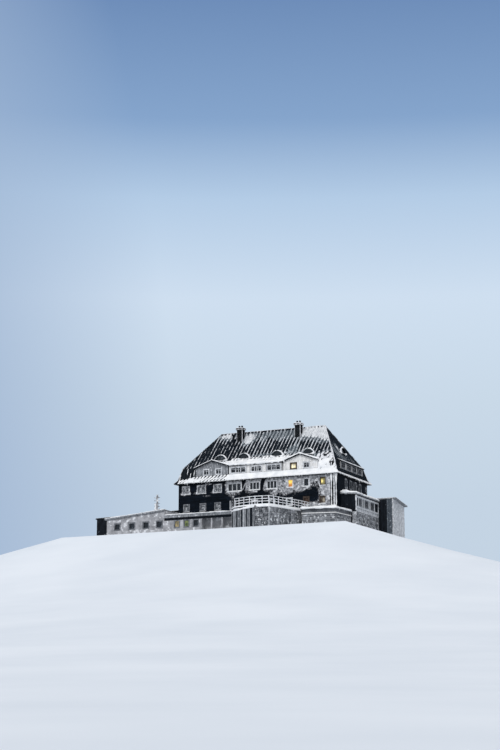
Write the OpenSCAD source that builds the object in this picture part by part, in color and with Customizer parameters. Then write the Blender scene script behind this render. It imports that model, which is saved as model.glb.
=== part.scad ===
// Alpine chalet at half size: a timber block of two storeys on a masonry plinth,
// under a steep hipped mansard roof with gabled, shed and round-headed dormers.
// Low annexes, a raised terrace, a glazed porch and an outbuilding stand round it.
// Millimetres. The origin is the plan centre of the timber block, at the ground.
// +X runs along the front to the right, +Y into the depth, +Z up.

/* [Main block] */
// Length of the timber block along the front
main_l = 13400; // [11000:100:16000]
// Depth of the timber block
main_d = 6450; // [5600:50:7400]
// Thickness of the timber walls
wall_t = 200; // [120:10:260]
// Thickness of the masonry plinth walls
plinth_t = 300; // [220:10:400]
// How far the plinth stands out from the timber
plinth_out = 40; // [20:5:80]

/* [Levels] */
// Thickness of the slabs that lie on the ground
base_t = 150; // [100:10:300]
// Top of the ground floor above the ground
ground_floor_z = 1650; // [1500:10:1800]
// Height from one floor to the next
storey_h = 1475; // [1400:5:1600]
// Thickness of the floors
floor_t = 140; // [100:5:180]
// Top of the timber walls above the ground floor
walls_h = 2680; // [2640:10:2900]

/* [Roof] */
// How far the eaves stand out from the walls
eave_out = 300; // [220:10:400]
// Height of the eaves board above the wall top
eave_h = 75; // [50:5:110]
// How far the foot of the steep slope stands out
flare_out = 80; // [60:5:110]
// Height of that foot above the wall top
flare_h = 300; // [260:10:340]
// How far the break line stands in from the walls
break_in = 230; // [180:10:300]
// Height of the break line above the wall top
break_h = 1270; // [1150:10:1400]
// Height of the ridge above the wall top
ridge_h = 4420; // [4000:20:4800]
// How far the ridge ends stand in from the end walls
hip_in = 2185; // [1900:5:2500]
// Thickness of the steep slope, measured level
steep_t = 185; // [140:5:220]
// Thickness of the upper slope, measured upright
slope_t = 210; // [160:5:260]
// How far the inner face of the roof stands in from the walls
seat_in = 120; // [80:5:150]
// Width of the ridge cap down each slope
ridge_cap_w = 150; // [100:10:250]
// Thickness of the ridge cap
ridge_cap_t = 25; // [15:5:50]

/* [Dormers] */
// Thickness of the dormer faces and cheeks
dormer_t = 100; // [60:5:120]
// Thickness of the dormer roofs
dormer_roof_t = 70; // [50:5:100]
// Distance of each gabled dormer from the middle
gable_x = 3750; // [3400:10:4200]
// Half width of a gabled dormer
gable_half = 1450; // [1250:10:1600]
// Height of a gabled dormer's side walls
gable_side_h = 640; // [560:10:680]
// Rise of a gable above the side walls
gable_rise = 500; // [400:10:560]
// How far dormer roofs stand out in front
dormer_out = 150; // [80:10:200]
// How far gabled dormer roofs stand out at the sides
gable_verge = 90; // [40:10:140]
// Height of the shed dormers' faces
shed_face_h = 720; // [680:10:760]
// Rise of the shed dormer roofs per unit of depth
shed_rise = 0.55; // [0.4:0.05:0.7]
// Length of the shed dormers on the short sides
side_dormer_l = 4700; // [4000:50:4800]
// Height of the side dormers' faces
side_face_h = 590; // [560:10:640]

/* [Round-headed dormers] */
// Middles of the four dormers along the front, from left to right
eyebrow_x = [-3370, -1340, 1520, 4120]; // [-4300:10:4300]
// Width of a round-headed dormer
eyebrow_w = 1080; // [900:10:1200]
// Height of a round-headed dormer
eyebrow_h = 470; // [380:10:520]
// Height of its sill above the gabled dormers' tops, on the long slopes
eyebrow_over_gable = 12; // [5:1:60]
// Height of its sill above the break line, on the hipped ends
eyebrow_hip_up = 780; // [600:10:900]
// Thickness of its vault
eyebrow_t = 55; // [40:5:80]
// How far its vault stands out in front
eyebrow_out = 70; // [40:5:120]

/* [Chimneys] */
// Distance of each chimney from the middle
chimney_x = 2525; // [2300:5:2900]
// Distance of the chimneys in front of the ridge
chimney_y = 620; // [500:10:800]
// Width of a chimney shaft
chimney_w = 470; // [400:10:560]
// Height of the chimney tops above the ridge
chimney_up = 75; // [40:5:300]
// How far a chimney cap stands out
chimney_cap_out = 65; // [40:5:80]
// Thickness of a chimney cap
chimney_cap_t = 165; // [80:5:200]
// Height of the chimney pots
pot_h = 190; // [120:10:260]
// Radius of a chimney pot
pot_r = 80; // [60:5:95]
// Radius of the small flue
flue_r = 95; // [70:5:120]
// Distance of the small flue outside its chimney's axis
flue_out = 450; // [430:5:700]
// Distance of the small flue in front of its chimney's axis
flue_front = 400; // [380:10:600]
// Height of the small flue above the roof at its axis
flue_h = 670; // [400:10:800]
// Radius of the hood on the small flue
flue_hood_r = 175; // [140:5:190]

/* [Windows] */
// Sill of the ground-floor windows above their floor
low_sill = 490; // [400:10:560]
// Height of the ground-floor windows
low_window_h = 550; // [450:10:600]
// Sill of the upper windows above their floor
high_sill = 395; // [340:5:440]
// Height of the upper windows
high_window_h = 610; // [500:10:640]
// Sill of the dormer windows above the foot of the dormer
dormer_sill = 60; // [55:1:90]
// Height of the dormer windows
dormer_window_h = 440; // [380:5:450]
// Width of a frame member
frame_w = 45; // [30:5:60]
// Least width of a pane
pane_w = 400; // [350:10:450]
// Depth of a frame in its opening
frame_d = 70; // [50:5:90]
// Width of the casing on the wall round each opening
casing_w = 50; // [30:5:70]
// Thickness of that casing
casing_t = 22; // [15:1:30]
// Thickness of the glass
glass_t = 12; // [6:1:16]

/* [Terrace door] */
// Middle of the door along the front
door_x = -1960; // [-2300:10:-1500]
// Width of the door leaf
door_w = 420; // [380:5:480]
// Height of the door leaf
door_h = 1080; // [1000:5:1150]
// Thickness of the door leaf
door_t = 32; // [24:1:40]
// Clearance round the door leaf
door_gap = 6; // [5:0.5:8]
// Radius of a hinge barrel
hinge_r = 8; // [6:1:10]
// Length of a hinge barrel
hinge_l = 60; // [40:5:90]
// Gap between two hinge barrels
hinge_gap = 0.3; // [0.2:0.05:0.4]

/* [Terrace] */
// Thickness of the terrace deck
deck_t = 100; // [60:5:120]
// Height of the railing above the deck
rail_h = 590; // [500:10:650]
// Thickness of a rail
rail_t = 40; // [25:5:60]
// Width of a railing post
rail_post_w = 36; // [30:2:38]
// Distance between railing posts
rail_post_pitch = 450; // [300:10:800]
// Thickness of the boards below the deck
skirt_t = 30; // [20:5:50]
// How far the terrace bows out before the annex front
terrace_bow = 1750; // [1400:10:1900]
// Height of the platform beside the terrace
platform_z = 1490; // [1200:10:1500]
// Left end of the platform, measured in from the right end of the timber block
platform_in = 2000; // [1800:10:2400]
// Depth of the platform at its left end, measured from the plinth
platform_out = 2135; // [1800:5:2400]
// Depth of the platform at its right end, measured from the plinth
platform_right_out = 1635; // [1400:5:1800]
// Thickness of the platform's slab
platform_t = 120; // [80:10:160]
// How far that slab stands out from its wall
platform_lip = 90; // [40:10:140]

/* [Annexes] */
// Front of the annexes, measured from the plinth
annex_out = 3210; // [2800:10:3500]
// Thickness of the annex walls
annex_t = 150; // [120:5:200]
// Length of the front annex
front_annex_l = 5950; // [5000:50:6200]
// Right end of the front annex, measured from the left end of the timber block
front_annex_in = 6450; // [6300:10:6600]
// Height of the front annex walls
front_annex_h = 1250; // [1150:10:1300]
// Thickness of the front annex roof with its fascia
front_annex_roof_t = 240; // [150:10:250]
// Depth of the recess in the front annex
recess_d = 700; // [400:10:1200]
// Width of the posts that carry the roof over the recess
recess_post_w = 120; // [90:10:200]
// Length of the left annex
left_annex_l = 5100; // [4500:50:5600]
// Wall height of the left annex at its outer end
left_annex_low = 1400; // [1300:10:1500]
// Wall height of the left annex at its inner end
left_annex_high = 1835; // [1700:5:1900]
// Thickness of the left annex roof
left_annex_roof_t = 110; // [80:5:160]
// How far the annex roofs stand out
annex_roof_out = 150; // [80:10:220]
// Length of the rear wing
rear_wing_l = 7385; // [6500:5:8000]
// Depth of the rear wing
rear_wing_d = 4000; // [3500:50:4800]
// Wall height of the rear wing at its outer end
rear_wing_low = 1990; // [1950:10:2050]
// Wall height of the rear wing at the main block
rear_wing_high = 2220; // [2150:10:2300]
// Thickness of the rear wing roof
rear_wing_roof_t = 95; // [70:5:140]

/* [Porch and outbuilding] */
// How far the porch stands out from the right wall
porch_out = 1250; // [1000:10:1400]
// Front end of the porch, measured from the middle
porch_y0 = -2325; // [-2600:5:-2000]
// Back end of the porch
porch_y1 = 2400; // [2000:5:2600]
// Thickness of the porch walls
porch_t = 120; // [90:5:160]
// Height of the porch's outer wall above the ground floor
porch_low = 1150; // [1050:10:1250]
// Height of the porch roof at the house above the ground floor
porch_high = 1250; // [1200:10:1400]
// Thickness of the porch roof
porch_roof_t = 80; // [60:5:120]
// How far the porch roof stands out
porch_roof_out = 130; // [80:10:200]
// How far the outbuilding reaches past the porch
shed_past = 1230; // [1000:5:1500]
// Width of the outbuilding
shed_l = 2250; // [1800:5:2350]
// Depth of the outbuilding
shed_d = 2500; // [2200:10:3000]
// Height of the outbuilding at its front
shed_high = 3000; // [2800:10:3200]
// Height of the outbuilding at its back
shed_low = 2660; // [2400:10:2700]
// Thickness of the outbuilding walls
shed_t = 120; // [90:5:160]
// How far the outbuilding's roof stands out at its right end
shed_verge = 250; // [100:10:300]

/* [Mast] */
// Distance of the mast from the left end of the main block
mast_in = -850; // [-1500:10:-600]
// Distance of the mast behind the annex front
mast_back = 1250; // [800:10:1600]
// Height of the mast
mast_h = 1540; // [1200:10:1800]
// Radius of a mast tube
mast_r = 22; // [15:1:30]
// Distance of the mast tubes from the mast's axis
mast_half = 60; // [40:5:90]

/* [Hidden] */

eps = 1;
half_l = main_l / 2;
half_d = main_d / 2;
plinth_x = half_l + plinth_out;
plinth_y = half_d + plinth_out;
slab_z = ground_floor_z - floor_t;
rail_heights = [0.35, 0.67, 1];
wall_top = ground_floor_z + walls_h;
first_floor_z = ground_floor_z + storey_h;
eave_z = wall_top + eave_h;
flare_z = wall_top + flare_h;
break_z = wall_top + break_h;
ridge_z = wall_top + ridge_h;
steep_run = (flare_out + break_in) / (break_z - flare_z);
main_rise = (ridge_z - break_z) / (half_d - break_in);
hip_rise = (ridge_z - break_z) / (hip_in - break_in);
seat_z = flare_z + (seat_in + flare_out - steep_t) / steep_run;
upper_floor_up = 60;
upper_floor_z = break_z + upper_floor_up;
dormer_z = flare_z + flare_out / steep_run + eps;
eyebrow_up = dormer_z + gable_side_h + gable_rise + dormer_roof_t + eyebrow_over_gable - break_z;
dormer_run = half_d;

// Inset of the inner break line behind the outer one, for a slope of the given rise
function inner_inset(rise) = (steep_t - steep_run * slope_t) / (1 - steep_run * rise);

// Half of the outer roof section, from the eaves to the ridge: half span, ridge half width
function outer_half(half, top) = [
    [half + eave_out, wall_top],
    [half + eave_out, eave_z],
    [half + flare_out, flare_z],
    [half - break_in, break_z],
    [top, ridge_z]
];

// Half of the inner roof section: half span, ridge half width and rise of the slope
function inner_half(half, top, rise) = [
    [half - seat_in, wall_top],
    [half - seat_in, seat_z],
    [half - break_in - inner_inset(rise), break_z - slope_t + inner_inset(rise) * rise],
    [top, ridge_z - slope_t]
];

function mirrored(points) = [for (i = [len(points) - 1:-1:0]) [-points[i][0], points[i][1]]];
function whole(points) = concat(points, mirrored(points));

// Level inset from the wall at which the inner face of a slope has the given height
function inner_at(z, rise) = break_in + (z - break_z + slope_t) / rise;

// A flat outline in Y and Z, extruded along X
module along_x(x0, x1) {
    translate([x0, 0, 0]) rotate([90, 0, 90]) linear_extrude(x1 - x0) children();
}

// A flat outline in X and Z, extruded along Y
module along_y(y0, y1) {
    translate([0, y1, 0]) rotate([90, 0, 0]) linear_extrude(y1 - y0) children();
}

module box(x0, x1, y0, y1, z0, z1) {
    translate([x0, y0, z0]) cube([x1 - x0, y1 - y0, z1 - z0]);
}

// Places what is drawn in a side's own frame: origin on the wall face, +Y inwards
module at_side(side) {
    turn = side == "right" ? 90 : side == "back" ? 180 : side == "left" ? -90 : 0;
    reach = side == "left" || side == "right" ? half_l : half_d;
    rotate([0, 0, turn]) translate([0, -reach, 0]) children();
}

// Window lists: [middle, sill height, width, height]
function row(places, sill, high) = [for (p = places) [p[0], sill, p[1], high]];

// A row whose places and widths are shares of a length
function shares(places, length, sill, high) = row([for (p = places) p * length], sill, high);

low_z = ground_floor_z + low_sill;
high_z = first_floor_z + high_sill;
front_low_left = shares(
    [[-0.895, 0.071], [-0.679, 0.071], [-0.487, 0.071]], half_l, low_z, low_window_h);
front_low_right = shares(
    [[-0.013, 0.071], [0.207, 0.071], [0.425, 0.071], [0.635, 0.064], [0.836, 0.064]],
    half_l, low_z, low_window_h);
front_high_left = shares(
    [[-0.905, 0.09], [-0.7, 0.105], [-0.488, 0.097]], half_l, high_z, high_window_h);
front_high_door = shares([[-0.269, 0.172]], half_l, high_z, high_window_h);
front_high_right = shares(
    [[-0.013, 0.127], [0.207, 0.127], [0.439, 0.064], [0.636, 0.067], [0.841, 0.064]],
    half_l, high_z, high_window_h);
back_places = [for (i = [-4:4]) [i * 0.213, 0.075]];
back_windows = concat(
    shares(back_places, half_l, low_z, low_window_h), shares(back_places, half_l, high_z, high_window_h));
side_places = [[-0.374, 0.124], [-0.07, 0.14], [0.209, 0.186], [0.535, 0.14]];
right_windows = shares(side_places, half_d, high_z, high_window_h);
left_high_windows = shares([for (p = side_places) [-p[0], p[1]]], half_d, high_z, high_window_h);
left_windows = concat(left_high_windows, shares([[-0.535, 0.14]], half_d, low_z, low_window_h));

dormer_sill_z = dormer_z + dormer_sill;
gable_windows = shares([[-0.37, 0.345], [0.37, 0.345]], gable_half, dormer_sill_z, dormer_window_h);
shed_windows = shares(
    [[-0.4, 0.347], [0.016, 0.24], [0.413, 0.307]], gable_x, dormer_sill_z, dormer_window_h);
side_dormer_windows = shares(
    [for (i = [-1.5:1:1.5]) [i * 0.245, 0.16]], side_dormer_l, dormer_sill_z, dormer_window_h);

// Cuts the openings of a list through a wall of the given thickness, in a side's own frame
module cut_windows(list, t) {
    for (w = list) box(w[0] - w[2] / 2, w[0] + w[2] / 2, -eps, t + eps, w[1], w[1] + w[3]);
}

// A wall in a side's own frame, from x0 to x1 and z0 to z1, with its openings
module wall_panel(x0, x1, z0, z1, t, list) {
    difference() {
        box(x0, x1, 0, t, z0, z1);
        cut_windows(list, t);
    }
}

// Frame and casing of one window, in a side's own frame
module window_frame(w) {
    bars = w[2] < 1.3 * pane_w ? 0 : w[2] < 2 * pane_w ? 1 : 2;
    pitch = w[2] / (bars + 1);
    difference() {
        union() {
            box(w[0] - w[2] / 2, w[0] + w[2] / 2, 0, frame_d, w[1], w[1] + w[3]);
            box(w[0] - w[2] / 2 - casing_w, w[0] + w[2] / 2 + casing_w, -casing_t, 0,
                w[1] - casing_w, w[1] + w[3] + casing_w);
        }
        for (i = [0:bars])
            box(w[0] - w[2] / 2 + i * pitch + (i == 0 ? frame_w : frame_w / 2),
                w[0] - w[2] / 2 + (i + 1) * pitch - (i == bars ? frame_w : frame_w / 2),
                -casing_t - eps, frame_d + eps, w[1] + frame_w, w[1] + w[3] - frame_w);
    }
}

// Panes of one window, set behind the frame
module window_glass(w) {
    box(w[0] - w[2] / 2, w[0] + w[2] / 2, frame_d, frame_d + glass_t, w[1], w[1] + w[3]);
}

module window_frames(list) {
    for (w = list) window_frame(w);
}

module window_panes(list) {
    for (w = list) window_glass(w);
}

module base_slabs() {
    color("slategray") {
        box(-plinth_x + plinth_t, plinth_x - plinth_t, -plinth_y + plinth_t, plinth_y - plinth_t, 0, base_t);
        box(front_x0 + annex_t, front_annex_x - annex_t, -annex_y + annex_t, -plinth_y, 0, base_t);
        box(left_x0 + annex_t, front_x0 - annex_t, -annex_y + annex_t, -plinth_y - annex_t, 0, base_t);
        box(wing_x0 + annex_t, -plinth_x - annex_t, -plinth_y + annex_t, wing_y1 - annex_t, 0, base_t);
        box(shed_x0 + shed_t, shed_x1 - shed_t, porch_y1 + shed_t, porch_y1 + shed_d - shed_t, 0, base_t);
    }
}

module plinth_walls() {
    color("dimgray") difference() {
        box(-plinth_x, plinth_x, -plinth_y, plinth_y, 0, slab_z);
        box(-plinth_x + plinth_t, plinth_x - plinth_t, -plinth_y + plinth_t, plinth_y - plinth_t,
            -eps, slab_z + eps);
    }
}

door_frame_x0 = door_x - door_w / 2 - door_gap - frame_w;
door_frame_x1 = door_x + door_w / 2 + door_gap + frame_w;
door_head_z = ground_floor_z + 2 * door_gap + door_h + frame_w;

module front_wall_left() {
    color("darkslategray") at_side("front")
        wall_panel(-half_l, door_frame_x0, ground_floor_z, wall_top, wall_t,
            concat(front_low_left, front_high_left, front_high_door));
}

module front_wall_right() {
    color("lightslategray") at_side("front")
        wall_panel(door_frame_x1, half_l, ground_floor_z, wall_top, wall_t,
            concat(front_low_right, front_high_right, front_high_door));
}

module front_wall_over_door() {
    color("slategray") at_side("front")
        wall_panel(door_frame_x0, door_frame_x1, door_head_z, wall_top, wall_t, front_high_door);
}

module back_wall() {
    color("darkslategray") at_side("back")
        wall_panel(-half_l, half_l, ground_floor_z, wall_top, wall_t, back_windows);
}

module left_wall() {
    color("darkslategray") at_side("left")
        wall_panel(-half_d + wall_t, half_d - wall_t, ground_floor_z, wall_top, wall_t, left_windows);
}

module right_wall() {
    color("darkslategray") at_side("right")
        wall_panel(-half_d + wall_t, half_d - wall_t, ground_floor_z, wall_top, wall_t, right_windows);
}

module ground_floor() {
    color("gray") box(-plinth_x, plinth_x, -plinth_y, plinth_y, slab_z, ground_floor_z);
}

module first_floor() {
    color("burlywood") box(-half_l + wall_t, half_l - wall_t, -half_d + wall_t, half_d - wall_t,
        first_floor_z - floor_t, first_floor_z);
}

module attic_floor() {
    color("burlywood") box(-half_l + seat_in, half_l - seat_in, -half_d + seat_in, half_d - seat_in,
        wall_top, wall_top + floor_t);
}

module upper_attic_floor() {
    dx = inner_at(upper_floor_z + floor_t, hip_rise) + 0.3;
    dy = inner_at(upper_floor_z + floor_t, main_rise) + 0.3;
    color("burlywood") box(-half_l + dx, half_l - dx, -half_d + dy, half_d - dy,
        upper_floor_z, upper_floor_z + floor_t);
}

// The whole volume under the roof's outer faces
module roof_outer() {
    intersection() {
        along_x(-half_l - eave_out - eps, half_l + eave_out + eps) polygon(whole(outer_half(half_d, 0)));
        along_y(-half_d - eave_out - eps, half_d + eave_out + eps)
            polygon(whole(outer_half(half_l, half_l - hip_in)));
    }
}

// The whole volume under the roof's inner faces
module roof_inner() {
    intersection() {
        along_x(-half_l, half_l) polygon(whole(inner_half(half_d, 0, main_rise)));
        along_y(-half_d, half_d) polygon(whole(inner_half(half_l, half_l - hip_in, hip_rise)));
    }
}

// Plan areas that part the roof along its hips
module long_slope_area(side) {
    reach = eave_out + 2 * eps;
    rotate([0, 0, side == "back" ? 180 : 0]) linear_extrude(ridge_z + eps) polygon([
        [-half_l - reach, -half_d - reach],
        [half_l + reach, -half_d - reach],
        [half_l - break_in, -half_d + break_in],
        [half_l - hip_in, 0],
        [-half_l + hip_in, 0],
        [-half_l + break_in, -half_d + break_in]
    ]);
}

module hip_slope_area(side) {
    reach = eave_out + 2 * eps;
    rotate([0, 0, side == "left" ? 180 : 0]) linear_extrude(ridge_z + eps) polygon([
        [half_l + reach, -half_d - reach],
        [half_l + reach, half_d + reach],
        [half_l - break_in, half_d - break_in],
        [half_l - hip_in, 0],
        [half_l - break_in, -half_d + break_in]
    ]);
}

gable_slope = gable_rise / gable_half;

// Outline of a gabled dormer's walls, about its own middle
function gable_walls() = [
    [-gable_half, dormer_z], [gable_half, dormer_z],
    [gable_half, dormer_z + gable_side_h],
    [0, dormer_z + gable_side_h + gable_rise],
    [-gable_half, dormer_z + gable_side_h]
];

// Outline of the roof plates over them
function gable_plates() = [
    [gable_half + gable_verge, dormer_z + gable_side_h - gable_verge * gable_slope],
    [gable_half + gable_verge, dormer_z + gable_side_h - gable_verge * gable_slope + dormer_roof_t],
    [0, dormer_z + gable_side_h + gable_rise + dormer_roof_t],
    [-gable_half - gable_verge, dormer_z + gable_side_h - gable_verge * gable_slope + dormer_roof_t],
    [-gable_half - gable_verge, dormer_z + gable_side_h - gable_verge * gable_slope],
    [0, dormer_z + gable_side_h + gable_rise]
];

// Walls and plates together
function gable_whole() = let (plates = gable_plates(), walls = gable_walls())
    concat([walls[0], walls[1], walls[2]], [for (i = [0:4]) plates[i]], [walls[4]]);

// The space that a gabled dormer takes out of the roof
module gable_space(x) {
    translate([x, 0, 0]) along_y(-dormer_out, dormer_run) polygon(gable_whole());
}

// A gabled dormer in a side's own frame, still running through the roof
module gable_body(x) {
    top = dormer_z + gable_side_h;
    inner = gable_half - dormer_t;
    translate([x, 0, 0]) difference() {
        union() {
            along_y(0, dormer_run) polygon(gable_whole());
            along_y(-dormer_out, eps) polygon(gable_plates());
        }
        along_y(dormer_t, dormer_run + eps) polygon([
            [-inner, dormer_z - eps], [inner, dormer_z - eps],
            [inner, top + dormer_t * gable_slope - dormer_roof_t],
            [0, top + gable_rise - dormer_roof_t],
            [-inner, top + dormer_t * gable_slope - dormer_roof_t]
        ]);
        cut_windows(gable_windows, dormer_t);
    }
}

// Inset at which a shed dormer's roof has run through a slope of the given rise
function shed_reach(face_h, rise) = 2 * dormer_t
    + (dormer_z + face_h + dormer_roof_t - break_z + break_in * rise + slope_t) / (rise - shed_rise);

// Section of a shed dormer in depth and height, for a face of the given height
function shed_section(face_h, reach) = [
    [0, dormer_z], [0, dormer_z + face_h],
    [-dormer_out, dormer_z + face_h - dormer_out * shed_rise],
    [-dormer_out, dormer_z + face_h - dormer_out * shed_rise + dormer_roof_t],
    [reach, dormer_z + face_h + reach * shed_rise + dormer_roof_t],
    [reach, dormer_z]
];

function shed_room(face_h, reach) = [
    [dormer_t, dormer_z - eps],
    [dormer_t, dormer_z + face_h + dormer_t * shed_rise],
    [reach + eps, dormer_z + face_h + (reach + eps) * shed_rise],
    [reach + eps, dormer_z - eps]
];

module shed_space(half, face_h, rise) {
    along_x(-half, half) polygon(shed_section(face_h, shed_reach(face_h, rise)));
}

// A shed dormer in a side's own frame: half length, cheek thickness, face height, rise of
// the slope behind it, windows
module shed_body(half, cheek, face_h, rise, list) {
    difference() {
        shed_space(half, face_h, rise);
        along_x(-half + cheek, half - cheek) polygon(shed_room(face_h, shed_reach(face_h, rise)));
        cut_windows(list, dormer_t);
    }
}

eyebrow_r = (eyebrow_w * eyebrow_w / 4 + eyebrow_h * eyebrow_h) / (2 * eyebrow_h);

// Round-headed outline standing on a sill line, shrunk by a margin all round the arch
module eyebrow_outline(sill, margin) {
    intersection() {
        translate([0, sill + eyebrow_h - eyebrow_r]) circle(eyebrow_r - margin, $fn = 64);
        translate([-eyebrow_w, sill]) square([2 * eyebrow_w, eyebrow_h]);
    }
}

// Depth in which a round-headed dormer has run through a slope of the given rise
function eyebrow_reach(rise) = (eyebrow_h + slope_t) / rise + dormer_t;

// Inset of the roof's outer face at a height above the break line
function outer_inset(up, rise) = break_in + up / rise;

module eyebrow_space(x, up, rise) {
    face = outer_inset(up, rise);
    translate([x, face, 0]) along_y(0, eyebrow_reach(rise)) eyebrow_outline(break_z + up, 0);
}

// A round-headed dormer in a side's own frame, still running through the roof
module eyebrow_body(x, up, rise) {
    face = outer_inset(up, rise);
    sill = break_z + up;
    translate([x, face, 0]) difference() {
        along_y(-eyebrow_out, eyebrow_reach(rise)) eyebrow_outline(sill, 0);
        along_y(-eyebrow_out - eps, 0) eyebrow_outline(sill - eps, eyebrow_t);
        along_y(dormer_t, eyebrow_reach(rise) + eps) eyebrow_outline(sill - eps, eyebrow_t);
        along_y(-eps, dormer_t + eps) eyebrow_outline(sill + eyebrow_t, 2 * eyebrow_t);
    }
}

module long_side_eyebrow_space() {
    for (x = eyebrow_x) eyebrow_space(x, eyebrow_up, main_rise);
}

module chimney_shaft(s) {
    x = s * chimney_x;
    box(x - chimney_w / 2, x + chimney_w / 2, -chimney_y - chimney_w / 2, -chimney_y + chimney_w / 2,
        upper_floor_z + floor_t, ridge_z + chimney_up);
}

module long_dormer_space() {
    for (s = [-1, 1]) gable_space(s * gable_x);
    shed_space(gable_x, shed_face_h, main_rise);
    long_side_eyebrow_space();
}

module roof_long(side) {
    difference() {
        intersection() {
            difference() {
                roof_outer();
                roof_inner();
            }
            long_slope_area(side);
        }
        at_side(side) long_dormer_space();
    }
}

module roof_hip(side) {
    difference() {
        intersection() {
            difference() {
                roof_outer();
                roof_inner();
            }
            hip_slope_area(side);
        }
        at_side(side) {
            shed_space(side_dormer_l / 2, side_face_h, hip_rise);
            eyebrow_space(0, eyebrow_hip_up, hip_rise);
        }
    }
}

module roof_front() {
    color("dimgray") difference() {
        roof_long("front");
        for (s = [-1, 1]) chimney_shaft(s);
    }
}

module roof_back() {
    color("dimgray") roof_long("back");
}

module roof_left() {
    color("dimgray") roof_hip("left");
}

module roof_right() {
    color("dimgray") roof_hip("right");
}

module ridge_cap() {
    drop = ridge_cap_w * main_rise;
    color("gainsboro") along_x(-half_l + hip_in, half_l - hip_in) polygon([
        [-ridge_cap_w, ridge_z - drop], [0, ridge_z], [ridge_cap_w, ridge_z - drop],
        [ridge_cap_w, ridge_z - drop + ridge_cap_t], [0, ridge_z + ridge_cap_t],
        [-ridge_cap_w, ridge_z - drop + ridge_cap_t]
    ]);
}

module gable_dormer(side, x) {
    difference() {
        at_side(side) gable_body(x);
        roof_inner();
    }
}

module left_gable_dormer() {
    color("lightgray") gable_dormer("front", -gable_x);
}

module right_gable_dormer() {
    color("lightgray") gable_dormer("front", gable_x);
}

module back_gable_dormers() {
    color("lightgray") for (s = [-1, 1]) gable_dormer("back", s * gable_x);
}

module long_shed_dormer(side) {
    difference() {
        at_side(side) difference() {
            shed_body(gable_x, 0, shed_face_h, main_rise, shed_windows);
            for (s = [-1, 1]) gable_space(s * gable_x);
            long_side_eyebrow_space();
        }
        roof_inner();
    }
}

module front_shed_dormer() {
    color("silver") long_shed_dormer("front");
}

module back_shed_dormer() {
    color("silver") long_shed_dormer("back");
}

module side_dormer(side) {
    difference() {
        at_side(side) shed_body(side_dormer_l / 2, dormer_t, side_face_h, hip_rise, side_dormer_windows);
        roof_inner();
    }
}

module left_side_dormer() {
    color("silver") side_dormer("left");
}

module right_side_dormer() {
    color("silver") side_dormer("right");
}

module round_dormers() {
    color("gainsboro") difference() {
        union() {
            for (side = ["front", "back"]) at_side(side)
                for (x = eyebrow_x) eyebrow_body(x, eyebrow_up, main_rise);
            for (side = ["left", "right"]) at_side(side) eyebrow_body(0, eyebrow_hip_up, hip_rise);
        }
        roof_inner();
    }
}

module chimney(s) {
    x = s * chimney_x;
    cap = chimney_w / 2 + chimney_cap_out;
    top = ridge_z + chimney_up;
    color("darkgray") union() {
        chimney_shaft(s);
        box(x - cap, x + cap, -chimney_y - cap, -chimney_y + cap, top, top + chimney_cap_t);
        for (side = [-1, 1])
            translate([x + side * chimney_w / 4, -chimney_y, top + chimney_cap_t - eps])
                cylinder(h = pot_h + eps, r1 = pot_r, r2 = pot_r * 0.85, $fn = 24);
    }
}

module left_chimney() {
    chimney(-1);
}

module right_chimney() {
    chimney(1);
}

flue_y = chimney_y + flue_front;
flue_z = ridge_z - flue_y * main_rise;

module small_flue() {
    color("dimgray") difference() {
        translate([-chimney_x - flue_out, -flue_y, flue_z]) {
            translate([0, 0, -2 * flue_r]) cylinder(h = flue_h + 2 * flue_r, r = flue_r, $fn = 32);
            translate([0, 0, flue_h - eps]) cylinder(h = flue_r, r1 = flue_hood_r, r2 = flue_r, $fn = 32);
        }
        roof_outer();
    }
}

module wall_window_frames() {
    color("whitesmoke") {
        at_side("front") {
            window_frames(concat(front_low_left, front_low_right));
            window_frames(concat(front_high_left, front_high_door, front_high_right));
        }
        at_side("back") window_frames(back_windows);
        at_side("left") window_frames(left_windows);
        at_side("right") window_frames(right_windows);
    }
}

module front_glass() {
    color("skyblue") at_side("front") {
        window_panes(concat(front_low_left, front_low_right));
        window_panes(concat(front_high_left, front_high_door, front_high_right));
    }
}

module back_glass() {
    color("skyblue") at_side("back") window_panes(back_windows);
}

module side_glass() {
    color("skyblue") {
        at_side("left") window_panes(left_windows);
        at_side("right") window_panes(right_windows);
    }
}

// Applies its children to the two gabled dormers of a long side
module at_gables(side) {
    at_side(side) for (s = [-1, 1]) translate([s * gable_x, 0, 0]) children();
}

module dormer_window_frames() {
    color("whitesmoke") {
        for (side = ["front", "back"]) {
            at_gables(side) window_frames(gable_windows);
            at_side(side) window_frames(shed_windows);
        }
        for (side = ["left", "right"]) at_side(side) window_frames(side_dormer_windows);
    }
}

module eyebrow_pane(x, up, rise) {
    translate([x, outer_inset(up, rise) + frame_d / 2, 0])
        along_y(0, glass_t) eyebrow_outline(break_z + up + eyebrow_t, 2 * eyebrow_t);
}

module dormer_glass() {
    color("skyblue") {
        for (side = ["front", "back"]) {
            at_gables(side) window_panes(gable_windows);
            at_side(side) {
                window_panes(shed_windows);
                for (x = eyebrow_x) eyebrow_pane(x, eyebrow_up, main_rise);
            }
        }
        for (side = ["left", "right"]) at_side(side) {
            window_panes(side_dormer_windows);
            eyebrow_pane(0, eyebrow_hip_up, hip_rise);
        }
    }
}

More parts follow.
